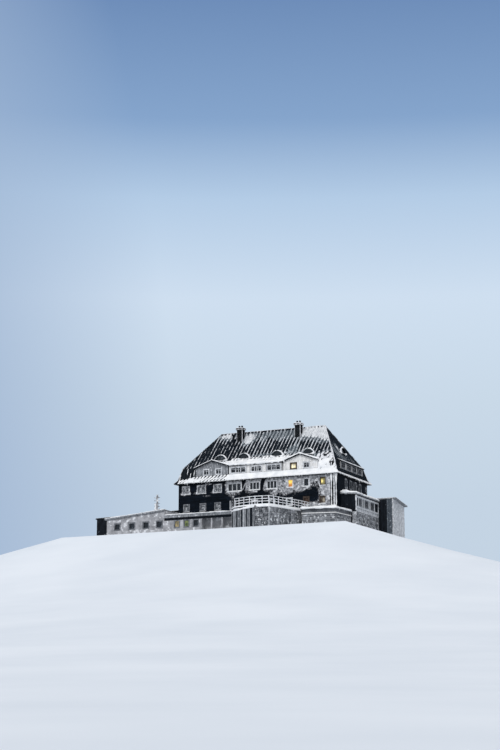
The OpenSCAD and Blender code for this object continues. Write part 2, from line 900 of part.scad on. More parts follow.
annex_y = plinth_y + annex_out;
front_annex_x = -half_l + front_annex_in;
front_x0 = front_annex_x - front_annex_l;
left_x0 = front_x0 - left_annex_l;
wing_x0 = -plinth_x - rear_wing_l;
wing_y1 = -plinth_y + rear_wing_d;
recess_x0 = front_x0 + 0.53 * front_annex_l;
recess_x1 = front_annex_x - annex_t;
recess_z = 0.9 * front_annex_h;
annex_windows = [for (a = [0.182, 0.321, 0.456])
    [front_x0 + a * front_annex_l, 0.4 * front_annex_h, 0.074 * front_annex_l, 0.42 * front_annex_h]];
left_annex_windows = [for (a = [0.186, 0.437, 0.682, 0.912])
    [left_x0 + a * left_annex_l, 0.4 * left_annex_low, 0.1 * left_annex_l, 0.357 * left_annex_low]];

// Places what is drawn in a wall frame on the front of the annexes
module at_annex_front() {
    translate([0, -annex_y, 0]) children();
}

// Opening of the recess between two of its posts, from share a to share b of its length
module recess_bay(a, b) {
    reach = recess_x1 - recess_x0;
    box(recess_x0 + a * reach + recess_post_w / 2, recess_x0 + b * reach - recess_post_w / 2,
        -annex_y - eps, -annex_y + annex_t + eps, base_t, recess_z);
}

module front_annex_walls() {
    color("slategray") {
        difference() {
            box(front_x0, front_annex_x, -annex_y, -plinth_y, 0, front_annex_h);
            box(front_x0 + annex_t, front_annex_x - annex_t, -annex_y + annex_t, -plinth_y + eps,
                -eps, front_annex_h + eps);
            at_annex_front() cut_windows(annex_windows, annex_t);
            for (i = [0:2]) recess_bay(i / 3, (i + 1) / 3);
        }
        box(recess_x0 - annex_t, recess_x0, -annex_y + annex_t - eps, -annex_y + recess_d,
            base_t, front_annex_h);
        box(recess_x0 - annex_t, recess_x1 + eps, -annex_y + recess_d, -annex_y + recess_d + annex_t,
            base_t, front_annex_h);
    }
}

module front_annex_roof() {
    color("white") box(front_x0, front_annex_x, -annex_y - annex_roof_out, -plinth_y,
        front_annex_h, front_annex_h + front_annex_roof_t);
}

module left_annex_walls() {
    color("gray") difference() {
        along_y(-annex_y, -plinth_y) polygon([
            [left_x0, 0], [front_x0, 0], [front_x0, left_annex_high], [left_x0, left_annex_low]
        ]);
        box(left_x0 + annex_t, front_x0 - annex_t, -annex_y + annex_t, -plinth_y - annex_t,
            -eps, left_annex_high + eps);
        at_annex_front() cut_windows(left_annex_windows, annex_t);
    }
}

module left_annex_roof() {
    slope = (left_annex_high - left_annex_low) / left_annex_l;
    x0 = left_x0 - annex_roof_out;
    z0 = left_annex_low - annex_roof_out * slope;
    color("white") along_y(-annex_y - annex_roof_out, -plinth_y) polygon([
        [x0, z0], [left_x0, left_annex_low], [front_x0, left_annex_high],
        [front_x0, left_annex_high + left_annex_roof_t], [x0, z0 + left_annex_roof_t]
    ]);
}

module rear_wing_walls() {
    color("darkslategray") difference() {
        along_y(-plinth_y, wing_y1) polygon([
            [wing_x0, 0], [-plinth_x, 0], [-plinth_x, ground_floor_z], [-half_l, ground_floor_z],
            [-half_l, rear_wing_high], [wing_x0, rear_wing_low]
        ]);
        box(-plinth_x - eps, -half_l + eps, -plinth_y - eps, -half_d,
            ground_floor_z - eps, rear_wing_high + eps);
        box(wing_x0 + annex_t, -plinth_x - annex_t, -plinth_y + annex_t, wing_y1 - annex_t,
            -eps, rear_wing_high + eps);
    }
}

module rear_wing_roof() {
    slope = (rear_wing_high - rear_wing_low) / (-half_l - wing_x0);
    x0 = wing_x0 - annex_roof_out;
    z0 = rear_wing_low - annex_roof_out * slope;
    color("dimgray") along_y(-half_d, wing_y1 + annex_roof_out) polygon([
        [x0, z0], [wing_x0, rear_wing_low], [-half_l, rear_wing_high],
        [-half_l, rear_wing_high + rear_wing_roof_t], [x0, z0 + rear_wing_roof_t]
    ]);
}

module annex_window_frames() {
    color("whitesmoke") {
        at_annex_front() window_frames(concat(annex_windows, left_annex_windows));
        at_porch() window_frames(porch_windows);
    }
}

module annex_glass() {
    color("lightyellow") {
        at_annex_front() window_panes(concat(annex_windows, left_annex_windows));
        at_porch() window_panes(porch_windows);
    }
}

porch_x1 = half_l + porch_out;
porch_slope = (porch_high - porch_low) / porch_out;
porch_l = porch_y1 - porch_y0;
shed_x1 = porch_x1 + shed_past;
shed_x0 = shed_x1 - shed_l;
porch_windows = [for (p = [[0.175, 0.128], [0.448, 0.178], [0.711, 0.16]])
    [porch_y0 + p[0] * porch_l, ground_floor_z + 0.28 * porch_low, p[1] * porch_l, 0.48 * porch_low]];

// Places what is drawn in a wall frame on the porch's outer wall
module at_porch() {
    rotate([0, 0, 90]) translate([0, -porch_x1, 0]) children();
}

module porch_walls() {
    color("darkslategray") difference() {
        along_y(porch_y0, porch_y1) polygon([
            [plinth_x, 0], [porch_x1, 0], [porch_x1, ground_floor_z + porch_low],
            [half_l, ground_floor_z + porch_high], [half_l, ground_floor_z], [plinth_x, ground_floor_z]
        ]);
        box(half_l - eps, porch_x1 - porch_t, porch_y0 + porch_t, porch_y1 - porch_t,
            ground_floor_z, ground_floor_z + porch_high + eps);
        box(plinth_x - eps, porch_x1 - porch_t, porch_y0 + porch_t, porch_y1 - porch_t, -eps, slab_z);
        at_porch() cut_windows(porch_windows, porch_t);
    }
}

module porch_roof() {
    x1 = porch_x1 + porch_roof_out;
    z1 = ground_floor_z + porch_low - porch_roof_out * porch_slope;
    color("white") along_y(porch_y0 - porch_roof_out, porch_y1) polygon([
        [half_l, ground_floor_z + porch_high], [porch_x1, ground_floor_z + porch_low],
        [x1, z1], [x1, z1 + porch_roof_t],
        [half_l, ground_floor_z + porch_high + porch_roof_t]
    ]);
}

module outbuilding_walls() {
    y1 = porch_y1 + shed_d;
    color("dimgray") difference() {
        along_x(shed_x0, shed_x1) polygon([
            [porch_y1, 0], [y1, 0], [y1, shed_low], [porch_y1, shed_high]
        ]);
        box(shed_x0 + shed_t, shed_x1 - shed_t, porch_y1 + shed_t, y1 - shed_t, -eps, shed_high + eps);
    }
}

module outbuilding_roof() {
    slope = (shed_high - shed_low) / shed_d;
    y0 = porch_y1;
    y1 = porch_y1 + shed_d;
    z1 = shed_low - porch_roof_out * slope;
    color("whitesmoke") along_x(shed_x0, shed_x1 + shed_verge) polygon([
        [y0, shed_high], [y1, shed_low], [y1 + porch_roof_out, z1],
        [y1 + porch_roof_out, z1 + porch_roof_t], [y0, shed_high + porch_roof_t]
    ]);
}

platform_x0 = half_l - platform_in;
platform_gap = 100;
terrace_x1 = platform_x0 - platform_gap;

// A point of the terrace edge: share of its length, then shares of its bow and of the annex depth
function edge_at(along, bow, back) = [
    front_annex_x + along * (terrace_x1 - front_annex_x),
    -plinth_y - bow * terrace_bow - back * annex_out
];

// Edge of the terrace, from the front annex round its bowed front to the house wall
terrace_edge = [
    edge_at(0, 0, 1), edge_at(0, 0.25, 1), edge_at(0.11, 0.66, 1), edge_at(0.31, 0.89, 1),
    edge_at(0.52, 1, 1), edge_at(0.75, 0.94, 1), edge_at(0.82, 0.37, 1),
    edge_at(0.9, 0, 0.77), edge_at(0.97, 0, 0.38), edge_at(1, 0, 0)
];

// Unit normal to the left of the stretch from a to b
function left_of(a, b) = [a[1] - b[1], b[0] - a[0]] / norm(b - a);

// The path moved in by d to its left, with mitred corners
function inset_path(path, d) = [for (i = [0:len(path) - 1])
    let (n1 = left_of(path[max(i - 1, 0)], path[max(i, 1)]),
        n2 = left_of(path[min(i, len(path) - 2)], path[min(i + 1, len(path) - 1)]))
    path[i] + (n1 + n2) * d / (1 + n1 * n2)];

function reversed(path) = [for (i = [len(path) - 1:-1:0]) path[i]];

// A band of the given width along the terrace edge, starting d inside it
module edge_band(d, width) {
    polygon(concat(inset_path(terrace_edge, d), reversed(inset_path(terrace_edge, d + width))));
}

// Points along the terrace edge, about a pitch apart on each stretch
function edge_posts(path, pitch) = concat([for (i = [0:len(path) - 2])
    let (n = max(1, round(norm(path[i + 1] - path[i]) / pitch)))
    for (k = [0:n - 1]) path[i] + (path[i + 1] - path[i]) * k / n], [path[len(path) - 1]]);

module terrace_deck() {
    color("white") translate([0, 0, ground_floor_z - deck_t]) linear_extrude(deck_t)
        polygon(concat([[front_annex_x, -plinth_y]], terrace_edge));
}

module terrace_skirt() {
    color("gray") difference() {
        linear_extrude(ground_floor_z - deck_t) edge_band(0, skirt_t);
        box(0, 2 * half_l, -plinth_y, 0, -eps, ground_floor_z);
    }
}

module terrace_railing() {
    color("white") {
        for (z = rail_heights)
            translate([0, 0, ground_floor_z + z * rail_h - rail_t])
                linear_extrude(rail_t) edge_band(0, rail_t);
        for (p = edge_posts(inset_path(terrace_edge, rail_t / 2), rail_post_pitch))
            translate([p[0], p[1], ground_floor_z])
                cylinder(h = rail_h - rail_t / 2, r = rail_post_w / 2, $fn = 16);
    }
}

// Free edge of the platform's slab, from the plinth round its front to the porch
platform_edge = [
    [platform_x0, -plinth_y], [platform_x0, -plinth_y - platform_out],
    [half_l + platform_in / 3, -plinth_y - platform_right_out],
    [porch_x1 - porch_out / 4, porch_y0]
];

// The point at height y of the plan on the line through a and b
function at_y(a, b, y) = [a[0] + (b[0] - a[0]) * (y - a[1]) / (b[1] - a[1]), y];

// The platform in plan inside the edge given, round the corner of the plinth
module platform_plan(edge) {
    last = at_y(edge[2], edge[3], porch_y0);
    polygon([edge[0], edge[1], edge[2], last, [plinth_x, porch_y0], [plinth_x, -plinth_y]]);
}

module front_platform() {
    slab_foot = platform_z - platform_t;
    color("slategray") {
        translate([0, 0, slab_foot]) linear_extrude(platform_t) platform_plan(platform_edge);
        linear_extrude(slab_foot + eps) platform_plan(inset_path(platform_edge, platform_lip));
    }
}

pipe_r = 45;
pipe_out = 100;
pipe_in = 120;
pipe_clip = 30;

module downpipe(side) {
    at_side(side) translate([half_l - pipe_in, -pipe_out, 0]) {
        foot = side == "front" ? platform_z : 0;
        translate([0, 0, foot]) cylinder(h = wall_top - foot, r = pipe_r, $fn = 24);
        for (a = [0.15, 0.5, 0.85])
            box(-pipe_clip / 2, pipe_clip / 2, 0, pipe_out,
                ground_floor_z + a * walls_h, ground_floor_z + a * walls_h + pipe_clip);
    }
}

module downpipes() {
    color("white") {
        downpipe("front");
        downpipe("back");
    }
}

mast_x = -half_l + mast_in;
mast_y = -annex_y + mast_back;
mast_rungs = 9;

module antenna_mast() {
    slope = (left_annex_high - left_annex_low) / left_annex_l;
    foot = left_annex_low + (mast_x - left_x0) * slope + left_annex_roof_t;
    color("white") difference() {
        translate([mast_x, mast_y, foot]) {
            for (s = [-1, 1]) translate([s * mast_half, 0, -mast_half])
                cylinder(h = mast_h + mast_half, r = mast_r, $fn = 16);
            for (i = [1:mast_rungs])
                box(-mast_half, mast_half, -mast_r / 2, mast_r / 2,
                    i * mast_h / (mast_rungs + 1), i * mast_h / (mast_rungs + 1) + mast_r);
            box(-3 * mast_half, -mast_half, -mast_half, mast_half, mast_h / 6, mast_h / 2);
        }
        along_y(mast_y - 2 * mast_half, mast_y + 2 * mast_half) polygon([
            [left_x0, 0], [front_x0, 0], [front_x0, left_annex_high + left_annex_roof_t],
            [left_x0, left_annex_low + left_annex_roof_t]
        ]);
    }
}

hinge_x = door_x - door_w / 2;
hinge_y = wall_t + hinge_r + 1;
leaf_z = ground_floor_z + door_gap;
hinge_heights = [0.15, 0.78];
hinge_plate_w = 30;
hinge_plate_t = 3;

// Hinge barrel with its plate: the plate runs from the barrel towards plate_x
module hinge_half(z, plate_x) {
    translate([hinge_x, hinge_y, z]) cylinder(h = hinge_l, r = hinge_r, $fn = 24);
    box(min(hinge_x, plate_x), max(hinge_x, plate_x), wall_t, wall_t + hinge_plate_t, z, z + hinge_l);
}

module terrace_door_frame() {
    color("gray") at_side("front") {
        difference() {
            box(door_frame_x0, door_frame_x1, 0, wall_t, ground_floor_z, door_head_z);
            box(door_x - door_w / 2 - door_gap, door_x + door_w / 2 + door_gap, -eps, wall_t + eps,
                ground_floor_z - eps, leaf_z + door_h + door_gap);
        }
        for (h = hinge_heights) hinge_half(leaf_z + h * door_h, hinge_x - door_gap - hinge_plate_w);
    }
}

module terrace_door() {
    color("darkgray") at_side("front") {
        box(door_x - door_w / 2, door_x + door_w / 2, wall_t - door_t, wall_t, leaf_z, leaf_z + door_h);
        for (h = hinge_heights)
            hinge_half(leaf_z + h * door_h + hinge_l + hinge_gap, hinge_x + hinge_plate_w);
    }
}

base_slabs();
plinth_walls();
front_wall_left();
front_wall_right();
front_wall_over_door();
back_wall();
left_wall();
right_wall();
ground_floor();
first_floor();
attic_floor();
upper_attic_floor();
roof_front();
roof_back();
roof_left();
roof_right();
ridge_cap();
left_gable_dormer();
right_gable_dormer();
front_shed_dormer();
back_gable_dormers();
back_shed_dormer();
left_side_dormer();
right_side_dormer();
round_dormers();
left_chimney();
right_chimney();
small_flue();
wall_window_frames();
dormer_window_frames();
annex_window_frames();
front_glass();
back_glass();
side_glass();
dormer_glass();
annex_glass();
downpipes();
terrace_deck();
terrace_skirt();
terrace_railing();
front_platform();
front_annex_walls();
front_annex_roof();
left_annex_walls();
left_annex_roof();
rear_wing_walls();
rear_wing_roof();
porch_walls();
porch_roof();
outbuilding_walls();
outbuilding_roof();
antenna_mast();
terrace_door_frame();
terrace_door();
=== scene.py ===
"""Alpine chalet at half size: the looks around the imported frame, in metres.

The timber block, its mansard roof, dormers, annexes, terrace, porch and outbuilding are the
frame's own solids. This script gives each of them a finish and adds what lies on them: boards,
stones, standing seams, trim, snow and rime.
"""

import logging
import math
from dataclasses import dataclass, field
from enum import Enum
from functools import reduce
from typing import Iterable, Sequence

import bpy
import numpy as np
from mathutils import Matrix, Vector


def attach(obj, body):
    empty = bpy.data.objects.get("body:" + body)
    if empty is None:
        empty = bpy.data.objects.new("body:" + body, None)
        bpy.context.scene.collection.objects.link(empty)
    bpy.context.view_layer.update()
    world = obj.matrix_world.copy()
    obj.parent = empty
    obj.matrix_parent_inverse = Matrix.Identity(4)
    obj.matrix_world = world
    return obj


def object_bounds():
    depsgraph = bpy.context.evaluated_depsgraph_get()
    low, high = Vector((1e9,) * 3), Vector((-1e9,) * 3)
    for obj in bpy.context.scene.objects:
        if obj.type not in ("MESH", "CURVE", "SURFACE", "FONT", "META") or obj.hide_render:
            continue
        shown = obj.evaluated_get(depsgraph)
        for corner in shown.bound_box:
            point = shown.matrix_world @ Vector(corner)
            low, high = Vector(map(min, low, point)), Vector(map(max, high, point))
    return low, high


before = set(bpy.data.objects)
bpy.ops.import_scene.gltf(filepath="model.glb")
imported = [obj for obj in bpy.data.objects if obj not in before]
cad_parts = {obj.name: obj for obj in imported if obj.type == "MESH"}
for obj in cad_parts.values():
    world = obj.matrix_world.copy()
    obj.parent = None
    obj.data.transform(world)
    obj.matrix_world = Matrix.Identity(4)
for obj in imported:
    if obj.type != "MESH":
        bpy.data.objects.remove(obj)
CAD_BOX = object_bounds()
HOUSE = "house"
DOOR = "terrace_door_leaf"
SHADE = "shade"
log = logging.getLogger("chalet")
Array = np.ndarray
Spans = list[tuple[float, float]]
Triple = tuple[float, float, float]
Tree = bpy.types.NodeTree
Socket = bpy.types.NodeSocket
X_WAY, Y_WAY, UP = (1.0, 0.0, 0.0), (0.0, 1.0, 0.0), (0.0, 0.0, 1.0)
SEAM = 0.3  # distance between the standing seams, and between the fingers of snow on them
FOOT = -0.002  # how deep boards reach into the wall behind them
SHALLOW = -0.001  # the same on thin walls, roof edges and the door
FAR = 9.0  # stands for a limit that nothing reaches
SIGNS = ((-1, -1), (-1, 1), (1, -1), (1, 1))


# Numbers, noise and lines


def linear(code: str) -> tuple[float, float, float, float]:
    """Turns an sRGB hex colour into linear RGBA with an alpha of 1."""
    parts = [int(code[i:i + 2], 16) / 255 for i in (1, 3, 5)]
    red, green, blue = [c / 12.92 if c <= 0.04045 else ((c + 0.055) / 1.055) ** 2.4 for c in parts]
    return red, green, blue, 1.0


def lattice(u: Array, v: Array | float, size: float, seed: int) -> Array:
    """Smooth noise: random values on a square lattice, blended between corners by 3t^2 - 2t^3.

    Args:
        u: first coordinate, in metres.
        v: second coordinate, in metres.
        size: side of a lattice cell, in metres.
        seed: seed of the random values.

    Returns:
        Values from -1 to 1.
    """
    table = np.random.default_rng(seed).uniform(-1, 1, (64, 64))
    x, y = np.broadcast_arrays(np.asarray(u) / size, np.asarray(v) / size)
    i, j = np.floor(x).astype(int), np.floor(y).astype(int)
    s, t = x - i, y - j
    s, t = s * s * (3 - 2 * s), t * t * (3 - 2 * t)
    low = table[i % 64, j % 64] * (1 - s) + table[(i + 1) % 64, j % 64] * s
    high = table[i % 64, (j + 1) % 64] * (1 - s) + table[(i + 1) % 64, (j + 1) % 64] * s
    return low * (1 - t) + high * t


def cloud(u: Array, v: Array | float, size: float, seed: int) -> Array:
    """Three layers of lattice noise, each half as large and half as strong as the last."""
    return (lattice(u, v, size, seed) + 0.5 * lattice(u, v, size / 2, seed + 1)
            + 0.25 * lattice(u, v, size / 4, seed + 2)) / 1.5


def lumpy(s: Array, size: float, seed: int, depth: float = 0.5, row: float = 0) -> Array:
    """Factors round 1 along a line, for tubes of uneven thickness."""
    return 1 + depth * lattice(s, row, size, seed)


def ramp(x: Array, low: float, high: float) -> Array:
    """0 below low, 1 above high and an even slope between; low may be the larger one."""
    return np.clip((np.asarray(x, float) - low) / (high - low), 0, 1)


def least(*heights: Array | float) -> Array:
    """The lowest of several heights at each point."""
    return reduce(np.minimum, heights)


def wave(x: Array, pitch: float = SEAM, phase: float = 0.0) -> Array:
    """A wave along x, from -1 to 1, with one crest a pitch."""
    return np.sin(x * 2 * math.pi / pitch + phase)


def mounds(u: Array, v: Array, *rows: Sequence[float]) -> Array:
    """Sum of soft mounds: middle u and v, half widths a and b, and height of each."""
    return sum((k * np.exp(-((u - m) / a) ** 2 - ((v - n) / b) ** 2) for m, n, a, b, k in rows),
               np.zeros(np.shape(u)))


def grid(a: Array, b: Array) -> tuple[Array, Array]:
    """Two coordinates at each point of a grid, the first along the rows."""
    return np.meshgrid(a, b, indexing="ij")


def cells(shape: tuple[int, int]) -> tuple[Array, Array, Array, Array]:
    """Numbers of the four corners of each cell of a grid, going round the cell."""
    number = np.arange(shape[0] * shape[1]).reshape(shape)
    return number[:-1, :-1], number[1:, :-1], number[1:, 1:], number[:-1, 1:]


def xyz(*parts: Array | float) -> Array:
    """Points from their coordinates, each an array or one number for all."""
    return np.stack(np.broadcast_arrays(*parts), -1)


def unit(vector: Array) -> Array:
    """The vector, or each vector of a row of them, at length 1."""
    return vector / np.linalg.norm(vector, axis=-1, keepdims=True)


def walk(knots: Array, count: int = 0, pitch: float = 1.0) -> tuple[Array, Array]:
    """Even steps along a line of knots.

    Args:
        knots: the line's corners.
        count: number of points, or 0 for one each pitch.
        pitch: distance between the points where no count is given.

    Returns:
        Distance along the line, and the points.
    """
    arc = np.concatenate([[0], np.cumsum(np.linalg.norm(np.diff(knots, axis=0), axis=1))])
    s = np.linspace(0, arc[-1], count or int(arc[-1] / pitch))
    return s, np.stack([np.interp(s, arc, k) for k in np.transpose(knots)], 1)


# Finishes


def add_node(tree: Tree, kind: str, settings: dict | None = None,
             inputs: dict | None = None) -> bpy.types.Node:
    """Adds a shader node with its settings and links.

    Args:
        tree: the node tree.
        kind: the node's type, without the leading ShaderNode.
        settings: values of the node's own properties.
        inputs: for each input, by name or index, a value or the socket that feeds it.

    Returns:
        The new node.
    """
    node = tree.nodes.new("ShaderNode" + kind)
    for key, value in (settings or {}).items():
        setattr(node, key, value)
    for key, value in (inputs or {}).items():
        if isinstance(value, Socket):
            tree.links.new(value, node.inputs[key])
        else:
            node.inputs[key].default_value = value
    return node


def maths(tree: Tree, kind: str, *values: Socket | float, clamp: bool = False) -> Socket:
    """One step of arithmetic on sockets and numbers."""
    settings = {"operation": kind, "use_clamp": clamp}
    return add_node(tree, "Math", settings, dict(enumerate(values))).outputs[0]


def noise(tree: Tree, place: Socket, size: float, detail: float) -> Socket:
    """Noise whose coarsest patches have about the given size in metres."""
    made = add_node(tree, "TexNoise", inputs={"Vector": place, "Scale": 1 / size, "Detail": detail})
    return made.outputs["Fac"]


def window(tree: Tree, value: Socket, low: float, high: float, first: float = 0.0,
           last: float = 1.0) -> Socket:
    """The value stretched so that low becomes the first number and high the last."""
    return add_node(tree, "MapRange", inputs={"Value": value, "From Min": low, "From Max": high,
                                              "To Min": first, "To Max": last}).outputs[0]


def mixed(tree: Tree, share: Socket, low: object, high: object) -> Socket:
    """The first colour where the share is 0 and the second where it is 1."""
    return add_node(tree, "Mix", {"data_type": "RGBA"}, {0: share, 6: low, 7: high}).outputs[2]


@dataclass(frozen=True)
class Finish:
    """A weathered outdoor surface: two tones in patches, a fine grain, and frost on it.

    Attributes:
        name: the material's name.
        dark: the darker tone.
        light: the lighter tone.
        patch: size of the patches of tone, in metres.
        stretch: how many times finer the patches are along X, Y and Z.
        grain: size of the grain that the bump shows, in metres.
        relief: depth of that grain, in metres.
        rough: least and greatest roughness.
        frost: tone of the frost.
        frost_share: how much of the surface the frost takes, from 0 to 1.
        frost_patch: size of the frosted patches, in metres.
        top_frost: how much of the upward faces the frost takes, from 0 to 1.
        gloss: specular level, lower where a matt dark surface drinks the light.
        glow: strength of its own light, for a lit pane.
        lamp: place and reach of a lamp behind a pane, as X, Y, Z and a radius in metres.
    """

    name: str
    dark: str
    light: str
    patch: float = 0.3
    stretch: Triple = (1.0, 1.0, 1.0)
    grain: float = 0.03
    relief: float = 0.004
    rough: tuple[float, float] = (0.8, 0.95)
    frost: str = "#ffffff"
    frost_share: float = 0.0
    frost_patch: float = 0.2
    top_frost: float = 0.0
    gloss: float = 0.3
    glow: float = 0.0
    lamp: tuple[float, float, float, float] | None = None

    def material(self) -> bpy.types.Material:
        """Builds the material once and returns it at each later call."""
        known = bpy.data.materials.get(self.name)
        if known:
            return known
        made = bpy.data.materials.new(self.name)
        made.use_nodes = True
        tree = made.node_tree
        shader = tree.nodes["Principled BSDF"]
        place = add_node(tree, "TexCoord").outputs["Object"]
        spread = add_node(tree, "Mapping", inputs={"Vector": place, "Scale": self.stretch}).outputs[0]
        tone = noise(tree, spread, self.patch, 6.0)
        level = window(tree, tone, 0.34, 0.66)
        if self.lamp:
            level = self.lamp_light(tree, place, level)
        shade = add_node(tree, "Attribute", {"attribute_name": SHADE}).outputs["Fac"]
        level = maths(tree, "ADD", level, shade, clamp=True)
        colour = mixed(tree, level, linear(self.dark), linear(self.light))
        if self.frost_share or self.top_frost:
            colour = mixed(tree, self.frost_cover(tree, place), colour, linear(self.frost))
        tree.links.new(colour, shader.inputs["Base Color"])
        tree.links.new(window(tree, tone, 0.0, 1.0, *self.rough), shader.inputs["Roughness"])
        bump = add_node(tree, "Bump", inputs={"Height": noise(tree, place, self.grain, 4.0),
                                              "Distance": self.relief, "Strength": 0.8})
        tree.links.new(bump.outputs[0], shader.inputs["Normal"])
        shader.inputs["Specular IOR Level"].default_value = self.gloss
        if self.glow:
            tree.links.new(colour, shader.inputs["Emission Color"])
            shader.inputs["Emission Strength"].default_value = self.glow
        return made

    def lamp_light(self, tree: Tree, place: Socket, level: Socket) -> Socket:
        """A round patch of lamp light that fades out over its reach, with a little of the level."""
        *centre, reach = self.lamp
        near = add_node(tree, "Mapping", inputs={
            "Vector": place, "Location": [-c / reach for c in centre], "Scale": [1 / reach] * 3})
        ball = add_node(tree, "TexGradient", {"gradient_type": "SPHERICAL"}, {"Vector": near.outputs[0]})
        return maths(tree, "MULTIPLY_ADD", level, 0.2, window(tree, ball.outputs["Fac"], 0.0, 0.6))

    def frost_cover(self, tree: Tree, place: Socket) -> Socket:
        """Where the frost lies: in patches, and on faces that look up."""
        edge = 0.72 - 0.42 * self.frost_share
        cover = window(tree, noise(tree, place, self.frost_patch, 8.0), edge, edge + 0.1)
        if self.top_frost:
            normal = add_node(tree, "NewGeometry").outputs["Normal"]
            up = add_node(tree, "SeparateXYZ", inputs={0: normal}).outputs[2]
            cover = maths(tree, "MAXIMUM", cover, window(tree, up, 0.25, 0.7, 0.0, self.top_frost))
        return cover


def pane(name: str, dark: str, light: str, patch: float = 0.25, **more: object) -> Finish:
    """Smooth float glass that shows what hangs or shines behind it.

    Args:
        name: what is behind it.
        dark: tone of its darker parts.
        light: tone of its lighter parts.
        patch: size of the patches of tone, in metres.
        more: other fields of the finish.

    Returns:
        The finish.
    """
    base = {"grain": 0.2, "relief": 0.0005, "rough": (0.2, 0.3)} | more
    return Finish("window_glass_" + name, dark, light, patch, **base)


# Black-blue stained softwood boards, sawn: streaks along the board, hardly any sheen, a little hoar.
STAINED_BOARDS = Finish("stained_softwood_boards", "#02060b", "#0c141e", 0.5, (1, 1, 9), 0.02, 0.003,
                        (0.65, 0.85), "#4d545e", 0.12, 0.25, gloss=0.08)
# The same boards under a thin coat of rime: grey with the stain coming through.
RIMED_BOARDS = Finish("rimed_softwood_boards", "#12161b", "#33373d", 0.4, (1, 1, 5), 0.02,
                      rough=(0.7, 0.9), frost="#82868c", frost_share=0.35, frost_patch=0.3, gloss=0.12)
# Weathered larch boards: silver grey, fine upright grain, frost in the grain.
WEATHERED_LARCH = Finish("weathered_larch_boards", "#5b5f64", "#989ba0", 0.35, (5, 5, 1), 0.012, 0.002,
                         (0.7, 0.9), "#c6c9ce", 0.3, top_frost=0.9)
# The same larch where driven frost has covered it: pale, with the joints still dark.
FROSTED_LARCH = Finish("frosted_larch_boards", "#c6c6c6", "#ebebeb", 0.3, (5, 5, 1), 0.012, 0.003,
                       frost="#e3e5e8", frost_share=0.35, frost_patch=0.3, top_frost=0.9)
# Larch boards gone dark grey, on the outbuilding's front: hoar in the grain.
GREYED_LARCH = Finish("greyed_larch_boards", "#2b3238", "#59616a", 0.35, (5, 5, 1), 0.012,
                      rough=(0.7, 0.9), frost="#98a0a8", frost_share=0.35, top_frost=0.9)
# Dark larch boards of the porch and the dormers: brown-black, fine upright grain.
# The same finish is also painted shade: under the annex eaves, along the dormer faces' tops, in the terrace
# skirt and by the porch.
DARK_LARCH_AND_SHADE = Finish("dark_larch_boards_and_painted_shade", "#080c11", "#191e25", 0.4, (4, 4, 1), 0.015, rough=(0.65, 0.85),
                    frost="#5f656e", frost_share=0.16, frost_patch=0.22, top_frost=0.8, gloss=0.1)
# Dark coated steel sheet, rolled: near black, a dull sheen, hoar in streaks down the slope.
COATED_SHEET = Finish("dark_coated_steel_sheet", "#05090d", "#141a20", 0.4, (3, 1, 1), 0.05, 0.002,
                      (0.5, 0.75), "#46535b", 0.15, 0.3, gloss=0.12)
# Settled snow: matt, very light, faintly blue in the hollows, rounded lumps of 60 mm.
SETTLED_SNOW = Finish("settled_snow", "#dcdfe3", "#f4f5f6", 0.5, grain=0.06, relief=0.012)
# Hard rime grown against the wind: rough white needles, grey where it is thin.
HARD_RIME = Finish("hard_rime", "#b6b9bf", "#eceef2", 0.16, relief=0.02)
# Thin rime on dark sheet or boards: mid grey, with the dark ground showing through in spots.
GREY_RIME = Finish("thin_grey_rime", "#5c646a", "#989ea4", 0.2, relief=0.012, frost="#c4c7cc",
                   frost_share=0.35, frost_patch=0.15, gloss=0.2)
# A film of frost on the sheet between the seams: dark grey, the sheet still showing.
FILM_RIME = Finish("frost_film_on_sheet", "#2a3237", "#4f585f", 0.3, (3, 1, 1), relief=0.006,
                   rough=(0.7, 0.9), frost="#7b838a", frost_share=0.3, gloss=0.2)
# Closed rime on the slope by the ridge: light grey, streaked a little by the seams under it.
PALE_RIME = Finish("closed_roof_rime", "#a9adb2", "#dde0e3", 0.3, (3, 1, 1), relief=0.015,
                   frost="#e3e6e9", frost_share=0.3)
# Rime crust on the weather side of the wall: light grey, mottled, with brownish bare spots.
CRUST_RIME = Finish("rime_crust_on_boards", "#63656a", "#a6a8ad", 0.22, relief=0.015, frost="#cdcfd3",
                    frost_share=0.5, frost_patch=0.25, gloss=0.2)
# Thin, sooty rime at the edge of the crust: dark grey with brownish spots.
SOOTY_RIME = Finish("sooty_rime", "#25272b", "#5d5e62", 0.15, relief=0.012, frost="#8b8c90",
                    frost_share=0.35, frost_patch=0.12, gloss=0.15)
# Trowelled lime render on the annexes: pale warm grey under driven frost.
LIME_RENDER = Finish("trowelled_lime_render", "#7f8084", "#aeafb3", 0.5, grain=0.02, frost="#d5d7db",
                     frost_share=0.4, frost_patch=0.3)
# Split granite blocks: mixed greys, coarse grain of a few millimetres drawn as 20 mm.
SPLIT_GRANITE = Finish("split_granite", "#45484d", "#8c8f94", 0.28, grain=0.02, relief=0.008,
                       rough=(0.75, 0.95), frost="#d3d6da", frost_share=0.4, top_frost=0.95)
# Cast concrete of plinth and slabs, board-marked: even grey, darker where it is damp.
CAST_CONCRETE = Finish("cast_concrete", "#33363b", "#63666b", 0.5, grain=0.015, relief=0.003,
                       frost="#c5c8cd", frost_share=0.25, frost_patch=0.35, top_frost=0.9)
# Sooty chimney masonry: black-brown stones with hoar in the joints.
SOOTED_STONE = Finish("sooted_chimney_stone", "#020406", "#0f1317", 0.15, grain=0.015, relief=0.006,
                      frost="#5d6268", frost_share=0.12, frost_patch=0.12, top_frost=1.0, gloss=0.08)
# White brushed paint on window timber, dulled by frost.
WINDOW_PAINT = Finish("white_window_paint", "#9b9ea3", "#cccfd3", 0.2, grain=0.01, relief=0.001,
                      rough=(0.4, 0.6), frost="#dfe1e5", frost_share=0.4, frost_patch=0.15, top_frost=1.0)
